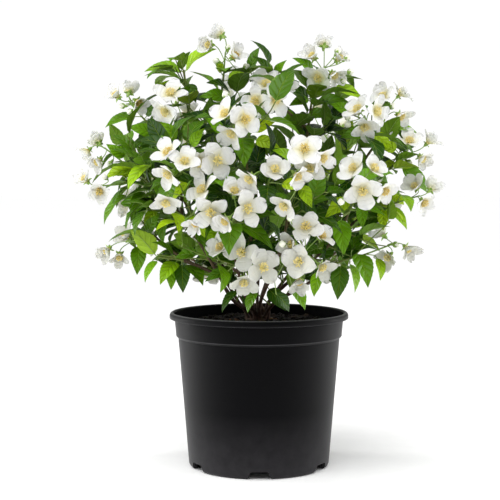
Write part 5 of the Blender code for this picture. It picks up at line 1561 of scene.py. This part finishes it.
class Wiring:
    """Adds nodes to one node tree and joins them."""

    def __init__(self, tree):
        self.tree = tree

    def add(self, kind, inputs=None, **settings):
        made = self.tree.nodes.new(kind)
        for name, value in settings.items():
            setattr(made, name, value)
        for socket, value in (inputs or {}).items():
            self.put(made.inputs[socket], value)
        return made

    def put(self, socket, value):
        if isinstance(value, bpy.types.NodeSocket):
            self.tree.links.new(value, socket)
        else:
            socket.default_value = value

    def maths(self, operation, *values):
        made = self.add("ShaderNodeMath", operation=operation)
        for socket, value in zip(made.inputs, values):
            self.put(socket, value)
        return made.outputs[0]

    def scaled(self, value, factor, shift=None):
        """A value times a factor, and then plus a shift."""
        made = self.maths("MULTIPLY", value, factor)
        return made if shift is None else self.maths("ADD", made, shift)

    def span(self, value, low, high, start=0.0, end=1.0, kind="LINEAR"):
        """From start to end while a value goes from low to high."""
        inputs = {"Value": value, "From Min": low, "From Max": high, "To Min": start, "To Max": end}
        return self.add("ShaderNodeMapRange", inputs, interpolation_type=kind).outputs["Result"]

    def place(self):
        return self.add("ShaderNodeNewGeometry").outputs["Position"]

    def blade(self):
        return self.add("ShaderNodeAttribute", attribute_name="blade").outputs["Vector"]

    def third(self, vector):
        """The last number of a vector: a place's height, or a blade's tone."""
        return self.add("ShaderNodeSeparateXYZ", {"Vector": vector}).outputs["Z"]

    def noise(self, scale, detail=4.0, place=None):
        inputs = {"Scale": scale, "Detail": detail, "Roughness": NOISE_ROUGHNESS,
                  "Vector": self.place() if place is None else place}
        return self.add("ShaderNodeTexNoise", inputs).outputs["Fac"]

    def ramp(self, share, *stops):
        made = self.add("ShaderNodeValToRGB", {"Fac": share})
        marks = made.color_ramp.elements
        while len(marks) < len(stops):
            marks.new(0.5)
        for mark, (place, colour) in zip(marks, stops):
            mark.position = place
            mark.color = (*colour, 1.0)
        return made.outputs["Color"]

    def blend(self, share, first, second):
        """The first colour where the share is 0, the second where it is 1."""
        made = self.add("ShaderNodeMix", data_type="RGBA")
        self.put(made.inputs["Factor"], share)
        for name, value in (("A", first), ("B", second)):
            socket = next(row for row in made.inputs if row.name == name and row.type == "RGBA")
            self.put(socket, (*value, 1.0) if isinstance(value, tuple) else value)
        return next(row for row in made.outputs if row.type == "RGBA")


def new_group(name, inputs, outputs):
    """A shader node group with named sockets, its wiring, and its input and output nodes."""
    group = bpy.data.node_groups.new(name, "ShaderNodeTree")
    for socket, kind, value in inputs:
        made = group.interface.new_socket(socket, in_out="INPUT", socket_type=kind)
        if value is not None:
            made.default_value = value
    for socket, kind in outputs:
        group.interface.new_socket(socket, in_out="OUTPUT", socket_type=kind)
    wiring = Wiring(group)
    return group, wiring, wiring.add("NodeGroupInput").outputs, wiring.add("NodeGroupOutput").inputs


def make_mottle():
    """Uneven lightness of any grown or weathered surface: a broad drift and a fine grain."""
    group, wiring, given, out = new_group("mottle", (
        ("Color", "NodeSocketColor", (0.5, 0.5, 0.5, 1)), ("Drift scale", "NodeSocketFloat", 40.0),
        ("Grain scale", "NodeSocketFloat", 400.0), ("Amount", "NodeSocketFloat", 0.3)),
        (("Color", "NodeSocketColor"), ("Grain", "NodeSocketFloat")))
    drift = wiring.noise(given["Drift scale"], 3.0)
    grain = wiring.noise(given["Grain scale"], 5.0)
    mixed = wiring.maths("ADD", wiring.scaled(drift, 0.6), wiring.scaled(grain, 0.4))
    offset = wiring.scaled(wiring.maths("SUBTRACT", mixed, 0.5), given["Amount"])
    shifted = wiring.add("ShaderNodeHueSaturation",
                         {"Value": wiring.scaled(offset, 4.0, 1.0), "Color": given["Color"]})
    wiring.put(out["Color"], shifted.outputs["Color"])
    wiring.put(out["Grain"], mixed)
    return group


def make_blade_veins():
    """The midrib, the arched side veins and the quilting between them, from a blade's shares."""
    group, wiring, given, out = new_group("blade_veins", (
        ("Blade", "NodeSocketVector", None), ("Pairs", "NodeSocketFloat", 5.0),
        ("Arch", "NodeSocketFloat", 0.28), ("Midrib width", "NodeSocketFloat", 0.06)),
        [(name, "NodeSocketFloat") for name in ("Vein", "Quilt", "Tone", "Along")])
    parts = wiring.add("ShaderNodeSeparateXYZ", {"Vector": given["Blade"]}).outputs
    across = wiring.maths("ABSOLUTE", parts["Y"])
    bend = wiring.scaled(wiring.maths("POWER", across, 0.8), given["Arch"])
    step = wiring.scaled(wiring.maths("SUBTRACT", parts["X"], bend), given["Pairs"])
    wave = wiring.maths("ABSOLUTE", wiring.maths("SINE", wiring.scaled(step, math.pi)))
    fade = wiring.maths("SUBTRACT", 1.0, wiring.maths("POWER", across, 2.0))
    side_vein = wiring.scaled(wiring.span(wave, 0.0, 0.28, 1.0, 0.0, "SMOOTHSTEP"), fade)
    midrib = wiring.span(across, 0.0, given["Midrib width"], 1.0, 0.0, "SMOOTHSTEP")
    wiring.put(out["Vein"], wiring.maths("MAXIMUM", midrib, wiring.scaled(side_vein, 0.7)))
    wiring.put(out["Quilt"], wiring.maths("POWER", wave, 0.6))
    wiring.put(out["Tone"], parts["Z"])
    wiring.put(out["Along"], parts["X"])
    return group


def finish(name, **values):
    """A material whose shader has these numbers set, with its wiring."""
    made = bpy.data.materials.new(name)
    made.use_nodes = True
    wiring = Wiring(made.node_tree)
    shader = made.node_tree.nodes["Principled BSDF"]
    for socket, value in values.items():
        shader.inputs[socket.replace("_", " ").title().replace("Ior", "IOR")].default_value = value
    MATERIALS[name] = made
    return wiring, shader.inputs


def place_group(wiring, name, **inputs):
    """Adds a shared effect to a material, with this material's own values."""
    made = wiring.add("ShaderNodeGroup", node_tree=GROUPS[name])
    for socket, value in inputs.items():
        wiring.put(made.inputs[socket.replace("_", " ").capitalize()], value)
    return made.outputs


def coat(wiring, shader, colour, rough, relief, depth):
    """Joins a finish's colour, roughness and relief to its shader."""
    wiring.put(shader["Base Color"], colour)
    wiring.put(shader["Roughness"], rough)
    bump = wiring.add("ShaderNodeBump", {"Height": relief, "Distance": depth})
    wiring.put(shader["Normal"], bump.outputs["Normal"])


def leaf_finishes():
    """The leaves' glossier upper face and paler underside, both veined and quilted."""
    for name, young, middle, old, vein, rough, depth in (
            ("leaf_upper", (0.460, 0.665, 0.010), (0.150, 0.358, 0.003), (0.008, 0.042, 0.001),
             (0.300, 0.440, 0.020), 0.21, 0.0008),
            ("leaf_underside", (0.330, 0.470, 0.022), (0.190, 0.340, 0.018), (0.110, 0.225, 0.016),
             (0.350, 0.470, 0.060), 0.45, -0.0005)):
        wiring, shader = finish(name, specular_ior_level=0.21)
        veins = place_group(wiring, "blade_veins", blade=wiring.blade())
        tone = wiring.ramp(veins["Tone"], (0.0, old), (0.5, middle), (1.0, young))
        mottle = place_group(wiring, "mottle", color=tone, drift_scale=55.0, grain_scale=900.0,
                             amount=0.30)
        colour = wiring.blend(wiring.scaled(veins["Vein"], 0.45), mottle["Color"], vein)
        relief = wiring.maths("SUBTRACT", veins["Quilt"], wiring.scaled(veins["Vein"], 0.8))
        relief = wiring.maths("ADD", relief, wiring.scaled(mottle["Grain"], 0.25))
        coat(wiring, shader, colour, wiring.scaled(mottle["Grain"], 0.22, rough), relief, depth)


def petal_finish():
    """White, yellow at the foot, with painted shade greying it low in the bush and near the foot,
    less in a fresh flower.
    """
    wiring, shader = finish("petal", specular_ior_level=0.3, subsurface_weight=0.25,
                            subsurface_scale=0.004, subsurface_radius=(1.0, 0.9, 0.7))
    veins = place_group(wiring, "blade_veins", blade=wiring.blade(), pairs=4.0, arch=-0.10,
                        midrib_width=0.05)
    white = wiring.ramp(veins["Along"], (0.0, (0.66, 0.60, 0.20)), (0.20, (0.84, 0.79, 0.46)),
                        (0.48, (0.825, 0.82, 0.775)), (1.0, (0.815, 0.82, 0.825)))
    # Painted shade: the dull grey goes in low in the bush and towards each petal's foot; a flower's
    # own tone lightens it
    fresh = wiring.maths("ADD", wiring.span(wiring.third(wiring.place()), *PAINTED_PETAL_SHADE_HEIGHTS),
                         wiring.scaled(veins["Tone"], 0.5))
    fresh = wiring.maths("ADD", fresh, wiring.scaled(veins["Along"], 0.6, -0.55))
    mottle = place_group(wiring, "mottle", color=wiring.blend(fresh, (0.52, 0.525, 0.46), white),
                         drift_scale=90.0, grain_scale=700.0, amount=0.05)
    colour = wiring.blend(wiring.scaled(veins["Vein"], 0.25), mottle["Color"], (0.70, 0.71, 0.64))
    relief = wiring.maths("ADD", wiring.scaled(veins["Quilt"], 0.5),
                          wiring.scaled(mottle["Grain"], 0.5))
    coat(wiring, shader, colour, wiring.scaled(mottle["Grain"], 0.2, 0.42), relief, 0.0010)


def flower_part_finishes():
    """The small parts of flowers, and the leaves' stalks."""
    for name, first, second, rough, scale in (
            ("filament", (0.84, 0.78, 0.36), (0.91, 0.87, 0.56), 0.4, 600.0),
            ("anther", (0.78, 0.62, 0.16), (0.92, 0.80, 0.36), 0.6, 900.0),
            ("flower_heart", (0.42, 0.36, 0.04), (0.60, 0.54, 0.12), 0.4, 500.0),
            ("bud", (0.80, 0.82, 0.62), (0.90, 0.90, 0.84), 0.35, 260.0),
            ("calyx", (0.19, 0.34, 0.045), (0.34, 0.48, 0.12), 0.4, 500.0),
            ("flower_stalk", (0.17, 0.30, 0.045), (0.27, 0.40, 0.10), 0.4, 400.0),
            ("leaf_stalk", (0.15, 0.26, 0.035), (0.26, 0.36, 0.09), 0.4, 400.0)):
        wiring, shader = finish(name, specular_ior_level=0.35)
        grain = wiring.noise(scale)
        colour = wiring.ramp(grain, (0.32, first), (0.68, second))
        if name in ("filament", "anther"):
            ripe = wiring.scaled(wiring.maths("POWER", wiring.third(wiring.blade()), 3.0), 0.8)
            colour = wiring.blend(ripe, colour, (0.60, 0.40, 0.06))
        coat(wiring, shader, colour, wiring.scaled(grain, 0.2, rough), grain, 0.0002)


def wood_finishes():
    """Flaking bark, green where it is young, and the green twigs."""
    for name, dark, light, flake, rough, depth in (
            ("bark", (0.012, 0.006, 0.004), (0.060, 0.030, 0.018), (0.13, 0.090, 0.060),
             0.62, 0.0009),
            ("green_twig", (0.055, 0.075, 0.014), (0.165, 0.240, 0.040), (0.20, 0.13, 0.050),
             0.4, 0.0003)):
        wiring, shader = finish(name, specular_ior_level=0.25)
        drawn_out = wiring.add("ShaderNodeMapping",
                               {"Vector": wiring.place(), "Scale": (1.0, 1.0, 0.16)})
        grain = wiring.noise(620.0, 6.0, drawn_out.outputs["Vector"])
        colour = wiring.ramp(grain, (0.30, dark), (0.62, light))
        if name == "bark":
            young = wiring.ramp(grain, (0.30, (0.060, 0.050, 0.014)), (0.62, (0.150, 0.135, 0.045)))
            height = wiring.third(wiring.place())
            colour = wiring.blend(wiring.span(height, *YOUNG_WOOD), colour, young)
        patches = wiring.span(wiring.noise(75.0, 3.0), 0.55, 0.68, 0.0, 0.55)
        colour = wiring.blend(patches, colour, flake)
        coat(wiring, shader, colour, wiring.scaled(grain, 0.25, rough), grain, depth)


def soil_finishes():
    """The crumbled potting mix and the bark chips on it."""
    wiring, shader = finish("soil", specular_ior_level=0.08)
    crumb = wiring.noise(420.0, 8.0)
    clump = wiring.noise(110.0)
    colour = wiring.ramp(crumb, (0.30, (0.002, 0.0015, 0.001)), (0.55, (0.007, 0.0045, 0.003)),
                         (0.75, (0.024, 0.014, 0.008)))
    relief = wiring.maths("ADD", crumb, clump)
    coat(wiring, shader, colour, wiring.scaled(clump, 0.2, 0.78), relief, 0.0022)

    wiring, shader = finish("bark_chip", specular_ior_level=0.12)
    base = wiring.ramp(wiring.third(wiring.blade()),
                       (0.0, (0.003, 0.002, 0.0016)), (0.55, (0.010, 0.006, 0.004)),
                       (0.78, (0.085, 0.036, 0.016)), (1.0, (0.20, 0.095, 0.045)))
    mottle = place_group(wiring, "mottle", color=base, drift_scale=160.0, grain_scale=900.0,
                         amount=0.55)
    coat(wiring, shader, mottle["Color"], wiring.scaled(mottle["Grain"], 0.3, 0.55),
         mottle["Grain"], 0.0009)


def pot_finishes():
    """Matt black inside, and outside with a sheen, a painted floor reflection low down and painted
    highlights along the edges.
    """
    for name, dye, gloss, rough, spread, sheen in (
            ("pot_inside", (0.0010, 0.0010, 0.0014, 1.0), 0.03, 0.6, 0.2, 0.0),
            ("pot_plastic", (0.0007, 0.0007, 0.0012, 1.0), 0.034, 0.34, 0.16, 0.10)):
        wiring, shader = finish(name, specular_ior_level=gloss, sheen_weight=sheen,
                                sheen_roughness=0.5)
        mottle = place_group(wiring, "mottle", color=dye, drift_scale=16.0, grain_scale=520.0,
                             amount=0.25)
        colour = mottle["Color"]
        if name == "pot_plastic":
            height = wiring.third(wiring.place())
            # Painted reflection of the floor: lighter and patchy towards the pot's foot
            reflection_patches = wiring.scaled(wiring.noise(60.0, 6.0), 0.6, 0.2)
            floor_reflection = wiring.scaled(wiring.span(height, 0.0, PAINTED_REFLECTION_HEIGHT, 1.0, 0.0), reflection_patches)
            colour = wiring.blend(floor_reflection, colour, (0.044, 0.042, 0.046))
            # Painted highlights: pale lines along the lip's crest, under the lip and at the
            # collar's foot
            for edge, reach, amount in POT_PAINTED_HIGHLIGHTS:
                gap = wiring.maths("ABSOLUTE", wiring.maths("SUBTRACT", height, edge))
                painted_highlight = wiring.scaled(wiring.span(gap, 0.0, reach, amount, 0.0),
                                     wiring.maths("ADD", wiring.noise(45.0), 0.35))
                colour = wiring.blend(painted_highlight, colour, (0.24, 0.24, 0.25))
        coat(wiring, shader, colour, wiring.scaled(mottle["Grain"], spread, rough),
             mottle["Grain"], 0.00018)


def floor_finish():
    """The white floor's finish."""
    wiring, shader = finish("studio_floor", specular_ior_level=0.2)
    grain = wiring.noise(30.0, 5.0)
    colour = wiring.ramp(grain, (0.3, (0.97, 0.97, 0.97)), (0.7, (1.0, 1.0, 1.0)))
    wiring.put(shader["Base Color"], colour)
    wiring.put(shader["Roughness"], wiring.scaled(grain, 0.1, 0.75))


def lay_floor():
    """The white floor under the pot."""
    corners = [(x * FLOOR_REACH, y * FLOOR_REACH, 0)
               for x, y in ((-1, -1), (1, -1), (1, 1), (-1, 1))]
    mesh = bpy.data.meshes.new("studio_floor")
    mesh.from_pydata(corners, [], [(0, 1, 2, 3)])
    mesh.materials.append(MATERIALS["studio_floor"])
    add_object("studio_floor", mesh)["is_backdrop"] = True


def add_lamp(name, place, aim, width, height, power):
    """A soft box that lights the plant and isn't seen itself."""
    light = bpy.data.lights.new(name, "AREA")
    light.shape = "RECTANGLE"
    light.size, light.size_y = width, height
    light.energy = power
    lamp = add_object(name, light)
    lamp.location = place
    lamp.rotation_euler = (Vector(aim) - Vector(place)).to_track_quat("-Z", "Y").to_euler()
    lamp.visible_camera = False


def light_studio():
    """A white backdrop that lights less than it shows, the soft boxes and one broad sun."""
    world = bpy.data.worlds.new("studio")
    bpy.context.scene.world = world
    world.use_nodes = True
    wiring = Wiring(world.node_tree)
    backdrop = world.node_tree.nodes["Background"]
    backdrop.inputs["Color"].default_value = (1.0, 1.0, 1.0, 1.0)
    seen = wiring.add("ShaderNodeLightPath").outputs["Is Camera Ray"]
    strength = wiring.scaled(seen, BACKDROP_BRIGHTNESS - WORLD_STRENGTH, WORLD_STRENGTH)
    wiring.put(backdrop.inputs["Strength"], strength)
    for lamp in LAMPS:
        add_lamp(*lamp)
    light = bpy.data.lights.new("soft_sun", "SUN")
    light.energy = SUN_STRENGTH
    light.angle = SUN_SPREAD
    sun = add_object("soft_sun", light)
    sun.rotation_euler = Vector(SUN_FROM).to_track_quat("Z", "Y").to_euler()
    bpy.context.scene.view_settings.view_transform = "Standard"


def set_camera():
    """The camera that the photograph was read by."""
    view = bpy.data.cameras.new("camera")
    view.sensor_width = SENSOR
    view.lens = SENSOR * PHOTO_FOCAL / PHOTO_SIDE
    camera = add_object("camera", view)
    camera.location = EYE
    camera.rotation_euler = (math.pi / 2 - EYE_PITCH, 0, 0)
    bpy.context.scene.camera = camera


MATERIALS, LATHES = {}, {}
GROUPS = {"mottle": make_mottle(), "blade_veins": make_blade_veins()}
LEAF_LENS = lens(*LEAF_GRID)
INNER_LENS = lens(*INNER_LEAF_GRID)
PETAL_LENS = lens(*PETAL_GRID)
SEPAL_LENS = lens(*SEPAL_GRID)

leaf_finishes()
petal_finish()
flower_part_finishes()
wood_finishes()
soil_finishes()
pot_finishes()
floor_finish()

# The canes' sway is the same each time only with a seed of its own
noise.seed_set(SEED)
layout_draw = random.Random(SEED)
fine_draw = random.Random(SEED + 1)
canes = grow_canes()
spray_ends = {}
for shoot in SHOOTS:
    spray_ends.update(shoot_lines(shoot, canes)[3])
flowers = {}
for number, spray in enumerate(SPRAYS, 1):
    marks = Marks(f"flower_spray_{number:02d}")
    flowers[spray.name] = list(placed_blooms(spray, marks, layout_draw))

dress_pot()
dress_soil()
dress_chips(fine_draw)
dress_wood(canes)
for number, spray in enumerate(SPRAYS, 1):
    start, back = spray_ends[spray.name]
    dress_spray(number, spray, start, back, flowers[spray.name], fine_draw)
for number, shoot in enumerate(SHOOTS, 1):
    dress_shoot(number, shoot, canes, fine_draw, layout_draw)

inner_draw = random.Random(SEED + 2)
crowd = Crowd()
for cane in CANES:
    bare_share = BARE_CANE if cane.parent is None else BARE_BRANCH
    dress_inner(f"inner_leaves_{cane.name}", [canes[cane.name]], bare_share, crowd, inner_draw)
for shoot in SHOOTS:
    twigs = shoot_lines(shoot, canes)[0]
    dress_inner(f"side_leaves_{shoot.name}", twigs, BARE_TWIG, crowd, inner_draw)
dress_cane_leaves(canes, inner_draw)

lay_floor()
light_studio()
set_camera()

[[list(corner) for corner in box] for box in (cad_box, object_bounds())]
